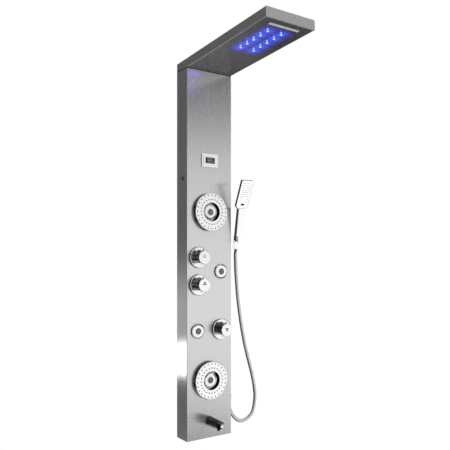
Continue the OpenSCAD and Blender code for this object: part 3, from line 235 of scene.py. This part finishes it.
# Hose: a double-folded steel strip wound into a ribbed tube of 14 mm, chromed, 0.86 m long. It
# hangs from the conical nut in one loop and comes back to the elbow on the column's side. The
# route's points are the model's, from the nut down, in millimetres, with heights above the foot.
foot_z = -1.290
hose_route = [(122, -74, 712), (122, -71.185, 698.286), (126, -67, 660), (132, -62, 612),
              (147, -54, 516), (167, -47, 420), (186, -42, 346), (203, -38, 293), (220, -36, 242),
              (238, -33, 183), (248, -31, 130), (248, -29, 92), (240, -28, 57), (225, -27, 37),
              (202, -26, 25), (178, -25, 24), (158, -24, 35), (139, -23, 57), (127, -22, 84),
              (122, -23, 102), (122, -23, 116)]
hose_points = [Vector((x / 1000, y / 1000, z / 1000 + foot_z)) for x, y, z in hose_route]
hose_radius = 0.007
hose_sides = 20
steps_between_points = 12
rib_pitch = 0.0030
rib_depths = (0.0, 0.0003, 0.0009, 0.0003)
plain_end = 0.012
plain_end_depth = 0.0006


def smooth_line(points, steps):
    """A line through all the points that turns smoothly at each."""
    line = []
    for i in range(len(points) - 1):
        p = [points[max(0, min(len(points) - 1, i + k))] for k in (-1, 0, 1, 2)]
        for k in range(steps):
            t = k / steps
            line.append(0.5 * (2 * p[1] + (p[2] - p[0]) * t
                               + (2 * p[0] - 5 * p[1] + 4 * p[2] - p[3]) * t * t
                               + (3 * p[1] - p[0] - 3 * p[2] + p[3]) * t * t * t))
    line.append(points[-1])
    return line


def evenly(line, pitch):
    """The same line with its points a pitch apart, and its length."""
    along = [0.0]
    for a, b in zip(line, line[1:]):
        along.append(along[-1] + (b - a).length)
    count = max(2, round(along[-1] / pitch))
    even = []
    k = 0
    for i in range(count + 1):
        s = along[-1] * i / count
        while k < len(line) - 2 and along[k + 1] < s:
            k += 1
        span = along[k + 1] - along[k]
        even.append(line[k].lerp(line[k + 1], (s - along[k]) / span if span else 0.0))
    return even, along[-1]


def ring(mesh, middle, first, second, radius, sides):
    """Corners round a middle, from the first direction towards the second."""
    return [mesh.verts.new(middle + radius * (first * math.cos(2 * math.pi * k / sides)
                                              + second * math.sin(2 * math.pi * k / sides)))
            for k in range(sides)]


def skin(mesh, rings):
    """Faces from each ring to the next."""
    for low, high in zip(rings, rings[1:]):
        for k in range(len(low)):
            j = (k + 1) % len(low)
            mesh.faces.new((low[k], low[j], high[j], high[k]))


def set_down(name, mesh, *materials):
    """Turns a mesh that is done into a piece of the scene."""
    bmesh.ops.recalc_face_normals(mesh, faces=mesh.faces)
    data = bpy.data.meshes.new(name)
    mesh.to_mesh(data)
    mesh.free()
    for material in materials:
        data.materials.append(material)
    piece = bpy.data.objects.new(name, data)
    scene.collection.objects.link(piece)
    return piece


def finish(name, pale, dark, rough, grain, metal=1.0, depth=0.0):
    """A surface whose tone and roughness drift between two values each, with a noise of the
    given grain per metre; a depth makes the same noise felt as well as seen."""
    material = bpy.data.materials.new(name)
    material.use_nodes = True
    tree = material.node_tree
    surface = tree.nodes["Principled BSDF"]
    surface.inputs["Metallic"].default_value = metal
    place = add(tree, "TexCoord").outputs["Object"]
    scaled = add(tree, "Mapping", {"Vector": place, "Scale": grain}).outputs["Vector"]
    noise = add(tree, "TexNoise", {"Vector": scaled, "Scale": 1.0, "Detail": 4.0}).outputs["Fac"]
    low, high, bump_strength = 0.3, 0.7, 0.35
    tree.links.new(tones(tree, noise, (low, dark), (high, pale)), surface.inputs["Base Color"])
    tree.links.new(edge(tree, noise, (low, high), rough, "LINEAR"), surface.inputs["Roughness"])
    if depth:
        bump = add(tree, "Bump", {"Height": noise, "Strength": bump_strength, "Distance": depth})
        tree.links.new(bump.outputs["Normal"], surface.inputs["Normal"])
    return material


def mix(tree, share, first, second):
    return add(tree, "Mix", {"Factor": share, "A": first, "B": second},
               data_type="RGBA").outputs["Result"]


def paint_dark_flanks(material, pale, dark, cloud, dark_at=0.30, pale_at=0.70, towards=(0, 1, 0),
                signed=False, well=None):
    """Chrome that keeps its tone where it faces a side and elsewhere has painted shade, dark and
    cloudy, for the dark room it would mirror. A well is a round recess (height of its middle,
    radius) with painted shade down to its floor."""
    tree = material.node_tree
    base = tree.nodes["Principled BSDF"].inputs["Base Color"]
    face_tone = base.links[0].from_socket
    where = add(tree, "TexCoord")
    turned = facing(tree, where.outputs["Normal"], towards)
    if not signed:
        turned = reckon(tree, "ABSOLUTE", turned)
    share = edge(tree, turned, (dark_at, pale_at), curve="LINEAR")
    clouds = add(tree, "TexNoise", {"Vector": where.outputs["Object"], "Scale": cloud,
                                    "Detail": 3.0}).outputs["Fac"]
    # Painted shade: the flank colour, dark with paler clouds, stands in for mirrored dark.
    cloud_low, cloud_high = 0.48, 0.66
    flank = tones(tree, clouds, (cloud_low, (dark,) * 3), (cloud_high, (pale,) * 3))
    result = mix(tree, share, flank, face_tone)
    if well is not None:
        middle, radius = well
        # Painted shade in the well: its forward faces turn grey down to its floor.
        well_wall = (radius - 0.0012, radius - 0.0004)
        well_floor_shade = (0.42, 0.42, 0.43, 1.0)
        offset = add(tree, "VectorMath", {0: where.outputs["Object"], 1: (0.0, 0.0, middle)},
                     operation="SUBTRACT").outputs["Vector"]
        flat = add(tree, "VectorMath", {0: offset, 1: (1.0, 0.0, 1.0)},
                   operation="MULTIPLY").outputs["Vector"]
        from_middle = add(tree, "VectorMath", {0: flat}, operation="LENGTH").outputs["Value"]
        outside = edge(tree, from_middle, well_wall, curve="LINEAR")
        result = mix(tree, outside, mix(tree, share, flank, well_floor_shade), result)
    tree.links.new(result, base)
    return material


hose_chrome = finish("hose_chrome", pale=(0.82, 0.83, 0.84), dark=(0.72, 0.73, 0.74),
                     rough=(0.14, 0.24), grain=(300, 300, 300))
# Painted shade: the hose is painted dark and cloudy where it faces back and to the left.
paint_dark_flanks(hose_chrome, pale=0.34, dark=0.20, cloud=300, dark_at=-0.50, pale_at=0.05,
            towards=(0.83, -0.56, 0.0), signed=True)
line, hose_length = evenly(smooth_line(hose_points, steps_between_points),
                           rib_pitch / len(rib_depths))
mesh = bmesh.new()
side = Vector((0, 1, 0))
rings = []
for i, p in enumerate(line):
    onward = (line[min(i + 1, len(line) - 1)] - line[max(i - 1, 0)]).normalized()
    side = (side - onward * side.dot(onward)).normalized()
    s = i * hose_length / (len(line) - 1)
    ribbed = plain_end <= s <= hose_length - plain_end
    depth = rib_depths[i % len(rib_depths)] if ribbed else plain_end_depth
    rings.append(ring(mesh, p, side, onward.cross(side), hose_radius - depth, hose_sides))
skin(mesh, rings)
mesh.faces.new(list(reversed(rings[0])))
mesh.faces.new(rings[-1])
for face in mesh.faces:
    face.smooth = True
hose = set_down("ribbed_hose", mesh, hose_chrome)
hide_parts("shower_hose")
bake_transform(hose)


# Ends of the hose: a conical nut and a plain nut of turned brass, and the elbow that feeds it
# from the column's side, all polished and chromed.
def dress(material, *names):
    """Puts a finish on CAD nodes, with curved faces shaded smooth and edges kept sharp."""
    for name in names:
        node = frame["nodes"][name]
        node.data.materials.clear()
        node.data.materials.append(material)
        for face in node.data.polygons:
            face.use_smooth = True
        node.data.set_sharp_from_angle(angle=math.radians(30.0))


def bright(name):
    return finish(name, pale=(0.95, 0.95, 0.955), dark=(0.91, 0.91, 0.92), rough=(0.05, 0.09),
                  grain=(80, 80, 80))


chrome = bright("bright_chrome")
dress(chrome, "hose_outlet", "hose_nut", "hose_cone")

# Column: stainless sheet of 1.2 mm folded into a deep tray, with a narrow frame turned in round
# the open back. Fine brush lines run up and down it and soften what it mirrors.
brushed_steel = finish("brushed_steel", pale=(0.72, 0.715, 0.72), dark=(0.66, 0.655, 0.66),
                       rough=(0.21, 0.29), grain=(900, 900, 14), metal=0.87, depth=0.00002)
tree = brushed_steel.node_tree
surface = tree.nodes["Principled BSDF"]
surface.inputs["Anisotropic"].default_value = 0.6
dress(brushed_steel, "column_casing")

# Seam: painted shade of the open joint between the column and the overhead box that stands on it,
# a dark line painted along the sheet's upper edge.
seam_tall, seam_blur = 0.0035, 0.0003
seam_shade_tone = (0.03, 0.03, 0.03, 1.0)
seam_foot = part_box("column_casing")[1].z - seam_tall
place = add(tree, "SeparateXYZ", {"Vector": add(tree, "TexCoord").outputs["Object"]})
in_seam_shade = edge(tree, place.outputs["Z"], (seam_foot, seam_foot + seam_blur), curve="LINEAR")
steel_tone = surface.inputs["Base Color"].links[0].from_socket
tree.links.new(mix(tree, in_seam_shade, steel_tone, seam_shade_tone), surface.inputs["Base Color"])

# Overhead box: the same sheet folded into a shallow box, brushed along its own length, from the
# column to its far end. It stands on the column and is screwed to it from inside.
box_steel = finish("box_steel", pale=(0.62, 0.62, 0.62), dark=(0.56, 0.56, 0.56),
                   rough=(0.25, 0.33), grain=(900, 14, 900), metal=0.85, depth=0.00002)
dress(box_steel, "head_casing")

# Rain plate: polished steel sheet under the box, so smooth that it mirrors the column. Round
# each lamp lens, in two rows of five, it has a painted blue glow, emitted light that stands in for
# the lamps' light on it, and the glow fades out between them.
lens_size = 0.008
lens_count = 5
glow_reach = (0.003, 0.055)
painted_glow_tones = ((0.0, (0.0, 0.0, 0.0)), (0.25, (0.006, 0.0, 0.05)), (0.5, (0.008, 0.004, 0.26)),
              (0.75, (0.01, 0.02, 0.50)), (1.0, (0.02, 0.07, 0.75)))
lens_low, lens_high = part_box("lamp_lenses")
lens_row = lens_high.x - lens_size / 2
lens_first = lens_low.y + lens_size / 2
lens_pitch = (lens_high.y - lens_low.y - lens_size) / (lens_count - 1)
dark_mirror = finish("dark_mirror", pale=(0.28, 0.27, 0.28), dark=(0.22, 0.215, 0.225),
                     rough=(0.12, 0.2), grain=(60, 60, 60))
tree = dark_mirror.node_tree
surface = tree.nodes["Principled BSDF"]
place = add(tree, "SeparateXYZ", {"Vector": add(tree, "TexCoord").outputs["Object"]})
steps_along = reckon(tree, "DIVIDE", reckon(tree, "SUBTRACT", place.outputs["Y"], lens_first),
                     lens_pitch)
nearest = reckon(tree, "ROUND", reckon(tree, "MINIMUM", reckon(tree, "MAXIMUM", steps_along, 0.0),
                                       lens_count - 1.0))
along = reckon(tree, "SUBTRACT", place.outputs["Y"],
               reckon(tree, "MULTIPLY_ADD", nearest, lens_pitch, lens_first))
across = reckon(tree, "SUBTRACT", reckon(tree, "ABSOLUTE", place.outputs["X"]), lens_row)
from_lens = reckon(tree, "SQRT", reckon(tree, "ADD", reckon(tree, "MULTIPLY", along, along),
                                        reckon(tree, "MULTIPLY", across, across)))
# Painted light: the plate itself glows blue round each lens.
painted_glow = edge(tree, from_lens, glow_reach, (1.0, 0.0))
tree.links.new(tones(tree, painted_glow, *painted_glow_tones), surface.inputs["Emission Color"])
surface.inputs["Emission Strength"].default_value = 1.0
dress(dark_mirror, "rain_plate")

# Lamp lenses: clear domes lit blue from behind by the lamp strips above them. A small lamp under
# each throws the blue on the rain plate and what is set in it, and on nothing else.
bulb_drop = 0.004
bulb_rise = (lens_high.z - lens_low.z) / 6  # lens to lens; a lens is two such rises tall
lamp_glass = finish("lamp_glass", pale=(0.5, 0.75, 1.0), dark=(0.35, 0.6, 1.0), rough=(0.1, 0.2),
                    grain=(300, 300, 300), metal=0.0)
surface = lamp_glass.node_tree.nodes["Principled BSDF"]
surface.inputs["Emission Color"].default_value = (0.2, 0.55, 1.0, 1.0)
surface.inputs["Emission Strength"].default_value = 1.0
dress(lamp_glass, "lamp_lenses")


def only_on(name, *nodes):
    """A group of CAD nodes for a lamp that lights them alone."""
    group = bpy.data.collections.new(name)
    for node in nodes:
        group.objects.link(frame["nodes"][node])
    return group


near_lenses = only_on("near_lenses", "rain_plate", "rain_nozzles", "lamp_lenses",
                      "waterfall_outlet")
column_top = only_on("column_top", "column_casing")
for side in (-1, 1):
    for k in range(lens_count):
        under_lens = (side * lens_row, lens_first + k * lens_pitch,
                      lens_low.z - bulb_drop + (lens_count - 1 - k) * bulb_rise)
        bulb = hang_lamp("lens_glow", "POINT", place=under_lens, mirrored=True,
                         color=(0.02, 0.055, 1.0), energy=0.013, shadow_soft_size=0.0025)
        bulb.light_linking.receiver_collection = near_lenses

# Blue spill: the lamps' light, thrown by the rain plate on the brushed front, lies as a short bar
# near the column's upper left corner. A small flat lamp close to the front stands in for it.
spill_x, spill_y, spill_z = -0.052, -0.108, 0.0945
spill = hang_lamp("lens_spill", "AREA", place=(spill_x, spill_y, spill_z),
                  aim=(spill_x, 0.0, spill_z), mirrored=True, shape="RECTANGLE", size=0.050,
                  size_y=0.014, color=(0.05, 0.05, 1.0), energy=0.0020)
spill.light_linking.receiver_collection = column_top

# Rain nozzles: soft silicone tips, pressed in rows through holes in the rain plate. Their colour
# is painted violet, a painted tint of the lamps' blue, and the lamps light them blue as well.
rain_silicone = finish("rain_silicone", pale=(0.26, 0.20, 0.30), dark=(0.18, 0.14, 0.2),
                       rough=(0.5, 0.65), grain=(500, 500, 500), metal=0.0)
dress(rain_silicone, "rain_nozzles")

# Waterfall outlet: a flat mouth of polished steel, set in the rain plate near the box's far end,
# that lets the water out as one wide sheet.
mouth_steel = finish("mouth_steel", pale=(0.94, 0.94, 0.95), dark=(0.88, 0.88, 0.89),
                     rough=(0.25, 0.35), grain=(200, 200, 200), metal=0.1)
dress(mouth_steel, "waterfall_outlet")

# Rain chamber and pipes: moulded from milky plastic. The chamber lies on the rain plate, and the
# pipes are pushed on the diverter's and the mixer's outlets.
milky_plastic = finish("milky_plastic", pale=(0.82, 0.82, 0.8), dark=(0.75, 0.75, 0.73),
                       rough=(0.35, 0.5), grain=(150, 150, 150), metal=0.0)
dress(milky_plastic, "rain_chamber", "riser_tubes", "link_tubes")

# Black mouldings inside: the strips that carry the lamps, the display's box, the small water
# driven generator with its leads, and the nuts that clamp the jets. Matt plastic, as moulded.
black_moulding = finish("black_moulding", pale=(0.05, 0.05, 0.052), dark=(0.03, 0.03, 0.032),
                        rough=(0.5, 0.65), grain=(400, 400, 400), metal=0.0, depth=0.00005)
dress(black_moulding, "lamp_strips", "display_module", "jet_nuts", "flow_generator", "lamp_leads")

# Mixer, diverter, jet manifold and their spindles and nuts: brass castings and turned brass, as
# they come from the lathe. The nuts clamp the valves to the sheet from behind.
turned_brass = finish("turned_brass", pale=(0.74, 0.58, 0.3), dark=(0.62, 0.47, 0.22),
                      rough=(0.25, 0.4), grain=(250, 250, 250), depth=0.00003)
dress(turned_brass, "valve_nuts", "hot_spindle", "cold_spindle", "diverter_spindle",
      "mixer_body", "diverter_body", "jet_manifold", "tail_nuts")

# Wall brackets and screws: zinc plated steel. The panel hangs on the two brackets, and the screws
# hold the overhead box and the holder.
zinc = finish("zinc_plate", pale=(0.62, 0.62, 0.64), dark=(0.5, 0.5, 0.52), rough=(0.3, 0.45),
              grain=(200, 200, 200))
dress(zinc, "wall_brackets", "case_screws")

# Side plug: a round cap of dark rubber, level with the hand shower's head, pressed into a hole
# in the column's left side.
plug_rubber = finish("plug_rubber", pale=(0.09, 0.06, 0.06), dark=(0.06, 0.045, 0.045),
                     rough=(0.5, 0.6), grain=(400, 400, 400), metal=0.0)
dress(plug_rubber, "side_plug")

# Temperature display: a chromed frame with a raised inner border, clipped into the front, round
# a window of smoked plastic that looks gloss black.
# Painted shade: the frame is painted dark and cloudy wherever it doesn't face forward, on its
# border's sides.
frame_chrome = paint_dark_flanks(bright("frame_chrome"), pale=0.25, dark=0.12, cloud=200)
dress(frame_chrome, "display_frame")
gloss_black = finish("gloss_black", pale=(0.03, 0.03, 0.032), dark=(0.02, 0.02, 0.022),
                     rough=(0.08, 0.14), grain=(120, 120, 120), metal=0.0)
gloss_black.node_tree.nodes["Principled BSDF"].inputs["Specular IOR Level"].default_value = 0.2
dress(gloss_black, "display_lens")

# Display digits: seven-bar figures, grey on black, that show a warm bath of 38.5 degrees. Each
# bar is a thin six-sided plate that stands a tenth of a millimetre proud of the window.
digit_tall, digit_wide, digit_pitch = 0.0150, 0.0082, 0.0112
bar = 0.0017
bar_gap = 0.0003
mark_proud, mark_thick = 0.0001, 0.0003
bars = {"3": "abcdg", "8": "abcdefg", "5": "acdfg"}


def flat_shapes(name, outlines, front_y, depth, material):
    """Thin raised marks on a face that looks along -Y, each an outline of x, z pairs."""
    mesh = bmesh.new()
    for outline in outlines:
        rear = [mesh.verts.new((x, front_y + depth, z)) for x, z in outline]
        fore = [mesh.verts.new((x, front_y, z)) for x, z in outline]
        mesh.faces.new(rear)
        mesh.faces.new(list(reversed(fore)))
        for k in range(len(outline)):
            j = (k + 1) % len(outline)
            mesh.faces.new((rear[k], fore[k], fore[j], rear[j]))
    return set_down(name, mesh, material)


def level_bar(x0, x1, z):
    return [(x0 + bar / 2, z - bar / 2), (x1 - bar / 2, z - bar / 2), (x1, z),
            (x1 - bar / 2, z + bar / 2), (x0 + bar / 2, z + bar / 2), (x0, z)]


def upright_bar(x, z0, z1):
    return [(x - bar / 2, z0 + bar / 2), (x, z0), (x + bar / 2, z0 + bar / 2),
            (x + bar / 2, z1 - bar / 2), (x, z1), (x - bar / 2, z1 - bar / 2)]


window_low, window_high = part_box("display_lens")
window_middle = (window_low + window_high) / 2
low, mid, high = (window_middle.z + share * digit_tall / 2 for share in (-1, 0, 1))
figures = []
for k, digit in enumerate("385"):
    left = window_middle.x + (k - 1) * digit_pitch - digit_wide / 2
    right = left + digit_wide
    places = {"a": level_bar(left + bar_gap, right - bar_gap, high),
              "g": level_bar(left + bar_gap, right - bar_gap, mid),
              "d": level_bar(left + bar_gap, right - bar_gap, low),
              "f": upright_bar(left, mid + bar_gap, high - bar_gap),
              "b": upright_bar(right, mid + bar_gap, high - bar_gap),
              "e": upright_bar(left, low + bar_gap, mid - bar_gap),
              "c": upright_bar(right, low + bar_gap, mid - bar_gap)}
    figures += [places[part] for part in bars[digit]]
point_x = window_middle.x + digit_pitch / 2
figures.append([(point_x + x * bar / 2, low + z * bar / 2)
                for x, z in ((-1, -1), (1, -1), (1, 1), (-1, 1))])
digit_grey = finish("digit_grey", pale=(0.42, 0.43, 0.44), dark=(0.36, 0.37, 0.38),
                    rough=(0.4, 0.5), grain=(700, 700, 700), metal=0.0)
digits = flat_shapes("display_digits", figures, window_low.y - mark_proud, mark_thick, digit_grey)
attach(digits, "panel")

# Body sprays: two wide discs of chromed plastic with a deep round recess in the middle, clamped
# to the front from behind. Their side walls are painted dark and cloudy, and the recess has
# painted shade down to its floor.
well_radius = 0.036
for spray in ("upper_body_spray", "lower_body_spray"):
    spray_low, spray_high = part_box(spray)
    well = ((spray_low.z + spray_high.z) / 2, well_radius)
    dress(paint_dark_flanks(bright(spray + "_chrome"), pale=0.12, dark=0.035, cloud=110, well=well),
          spray)

# Nozzles of the body sprays: dark silicone tips in two rings. Each stands in a collar of the same
# silicone, 2.6 mm in radius and flush with the disc's face but for two tenths of a millimetre.
silicone = finish("grey_silicone", pale=(0.05, 0.05, 0.052), dark=(0.025, 0.025, 0.027),
                  rough=(0.5, 0.65), grain=(500, 500, 500), metal=0.0)
dress(silicone, "spray_nozzles")
spray_face = -spray_low.y
nub_span = 0.0035
skirt_sides = 16
skirt_proud = 0.0002


def lumps(name, nearness):
    """Middles of the separate bodies in a node, from points that lie close together."""
    middles = []
    for corner in sorted((v.co for v in frame["nodes"][name].data.vertices), key=tuple):
        for found in middles:
            if (found[0] / found[1] - corner).length < nearness:
                found[0] += corner
                found[1] += 1
                break
        else:
            middles.append([corner.copy(), 1])
    return [total / count for total, count in middles]


def nub_skirts(name, node, outward, front, inner, outer):
    """Collars round the nozzles of a node, on the face that lies at front along outward."""
    mesh = bmesh.new()
    level = Vector((1, 0, 0))
    across = outward.cross(level).normalized()
    profile = ((outer, -skirt_proud), (outer, skirt_proud * 0.4), (outer * 0.86, skirt_proud),
               (inner, skirt_proud))  # radius, height over the face
    for middle in lumps(node, nub_span):
        seat = middle + outward * (front - middle.dot(outward))
        skin(mesh, [ring(mesh, seat + outward * proud, level, across, radius, skirt_sides)
                    for radius, proud in profile])
    return set_down(name, mesh, silicone)


skirts = nub_skirts("spray_nub_skirts", "spray_nozzles", Vector((0, -1, 0)), spray_face,
                    inner=0.0012, outer=0.0026)
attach(skirts, "panel")

# Swivel ball jets: a chromed collar, a seat ring that turns in it and a polished ball that tilts
# in the ring. The collar has painted shade, dark and cloudy, where it faces left or right, and its
# front stays bright.
jets = ("upper", "lower", "right", "left")
collar_chrome = finish("collar_chrome", pale=(0.70, 0.70, 0.71), dark=(0.40, 0.40, 0.41),
                       rough=(0.08, 0.15), grain=(160, 160, 160))
paint_dark_flanks(collar_chrome, pale=0.12, dark=0.03, cloud=160, dark_at=0.85, pale_at=0.5,
            towards=(1, 0, 0))
dress(collar_chrome, "jet_collars")
for jet in jets:
    dress(chrome, jet + "_jet_seat", jet + "_jet_ball")

# Jet inserts: grey moulded cups in the balls, each with a paler turned lip round its bore. A black
# disc across the bore is painted shade for the dark hole.
# The lip stands four tenths of a millimetre proud of the cup and tilts with the ball.
insert_grey = finish("insert_grey", pale=(0.13, 0.13, 0.135), dark=(0.07, 0.07, 0.075),
                     rough=(0.25, 0.4), grain=(200, 200, 200), metal=0.0)
lip_grey = finish("lip_grey", pale=(0.45, 0.45, 0.46), dark=(0.35, 0.35, 0.36),
                  rough=(0.2, 0.3), grain=(300, 300, 300), metal=0.5)
bore_shade = finish("bore_shade", pale=(0.012, 0.012, 0.012), dark=(0.006, 0.006, 0.006),
                    rough=(0.5, 0.6), grain=(300, 300, 300), metal=0.0)
lip_out, lip_in, lip_sides = 0.0052, 0.0030, 32
lip_profile = ((lip_out, 0.0012), (lip_out, -0.0002), (lip_out * 0.9, -0.0004),
               (lip_in, -0.0004), (lip_in * 0.96, 0.0))  # radius, depth behind the cup's front
for jet in jets:
    dress(insert_grey, jet + "_jet_nozzle")
    cup_low, cup_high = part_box(jet + "_jet_nozzle")
    front = Vector(((cup_low.x + cup_high.x) / 2, cup_low.y, (cup_low.z + cup_high.z) / 2))
    mesh = bmesh.new()
    rings = [ring(mesh, front + Vector((0, depth, 0)), Vector((0, 0, 1)), Vector((1, 0, 0)),
                  radius, lip_sides) for radius, depth in lip_profile]
    skin(mesh, rings)
    # Painted shade: a black disc closes the bore.
    mesh.faces.new(rings[-1]).material_index = 1
    lip = set_down(jet + "_jet_lip", mesh, lip_grey, bore_shade)
    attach(lip, jet + "_jet_eye")

# Knobs and their flanges: hot, cold and diverter, turned and chromed, each pushed on its spindle.
# The faces that look forward are pale; barrels, fins and rims are painted dark and cloudy, a
# painted reflection of the dark room.
turned_chrome = finish("turned_chrome", pale=(0.92, 0.92, 0.925), dark=(0.80, 0.80, 0.81),
                       rough=(0.05, 0.09), grain=(160, 160, 160))
paint_dark_flanks(turned_chrome, pale=0.40, dark=0.03, cloud=110)
dress(turned_chrome, "knob_flanges", "hot_knob", "cold_knob", "diverter_knob")

# Knob marks: an arrow head printed in outline on the face of each knob, black on two and pale on
# the third. It turns with its knob.
mark_out, mark_in = 0.0095, 0.0034
mark_corners = 3
mark_black = finish("mark_black", pale=(0.03, 0.03, 0.03), dark=(0.015, 0.015, 0.015),
                    rough=(0.45, 0.6), grain=(600, 600, 600), metal=0.0)
mark_grey = finish("mark_grey", pale=(0.5, 0.5, 0.5), dark=(0.42, 0.42, 0.42),
                   rough=(0.45, 0.6), grain=(600, 600, 600), metal=0.0)
turning = {joint["child"]: joint["pos_m"] for joint in frame["joints"] if "pos_m" in joint}
for knob, up, lift, paint in (("cold", 1, 0.006, mark_black), ("diverter", -1, 0.003, mark_black),
                              ("hot", 1, 0.004, mark_grey)):
    middle = Vector(turning[knob + "_valve"]) + Vector((0, 0, lift))
    outer, inner = ([(middle.x + radius * math.sin(2 * math.pi * k / mark_corners),
                      middle.z + up * radius * math.cos(2 * math.pi * k / mark_corners))
                     for k in range(mark_corners)] for radius in (mark_out, mark_in))
    sides = [[outer[k], outer[(k + 1) % mark_corners], inner[(k + 1) % mark_corners], inner[k]]
             for k in range(mark_corners)]
    mark = flat_shapes(knob + "_knob_mark", sides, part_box(knob + "_knob")[0].y - mark_proud,
                       mark_thick, paint)
    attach(mark, knob + "_valve")

# Tub spout: a cast and chromed tube with a rounded nose, clamped at its root, and a silicone
# aerator in the short outlet under the nose. It is painted dark and cloudy almost all over, a
# painted reflection of the dark room, and the nose's front stays bright.
spout_chrome = paint_dark_flanks(bright("spout_chrome"), pale=0.16, dark=0.03, cloud=110, dark_at=0.75,
                           pale_at=0.93)
dress(spout_chrome, "tub_spout")
dress(silicone, "spout_aerator")

# Holder: a moulded block with a pale satin coat, screwed to the column's right side, that takes
# the hose's conical nut. A white card that lights nothing else keeps its front bright.
holder_middle = (0.118, -0.07, -0.55)
satin_chrome = finish("satin_chrome", pale=(0.97, 0.97, 0.975), dark=(0.93, 0.93, 0.935),
                      rough=(0.12, 0.2), grain=(80, 80, 80), metal=0.0)
dress(satin_chrome, "holder_bracket")
card = hang_lamp("holder_card", "AREA", place=(-0.5, -1.3, -0.45), aim=holder_middle, size=0.6,
                 energy=10.0)
card.light_linking.receiver_collection = only_on("near_holder", "holder_bracket")

# Hand shower: a chromed plastic shell and face plate, with rows of dark silicone nozzles and a
# push button. Thin silicone collars lie round the nozzles, on the tilted face.
# Painted shade: shell and face plate are painted dark and cloudy where they don't face forward.
shell_chrome = paint_dark_flanks(bright("shell_chrome"), pale=0.25, dark=0.08, cloud=60)
dress(shell_chrome, "handset_shell", "handset_face")
dress(silicone, "handset_nozzles", "handset_button")
plate = max((f for f in frame["nodes"]["handset_face"].data.polygons if f.normal.y < -0.5),
            key=lambda f: f.area)
outward = plate.normal.copy()
skirts = nub_skirts("handset_nub_skirts", "handset_nozzles", outward, plate.center.dot(outward),
                    inner=0.0007, outer=0.0013)
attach(skirts, "handset")
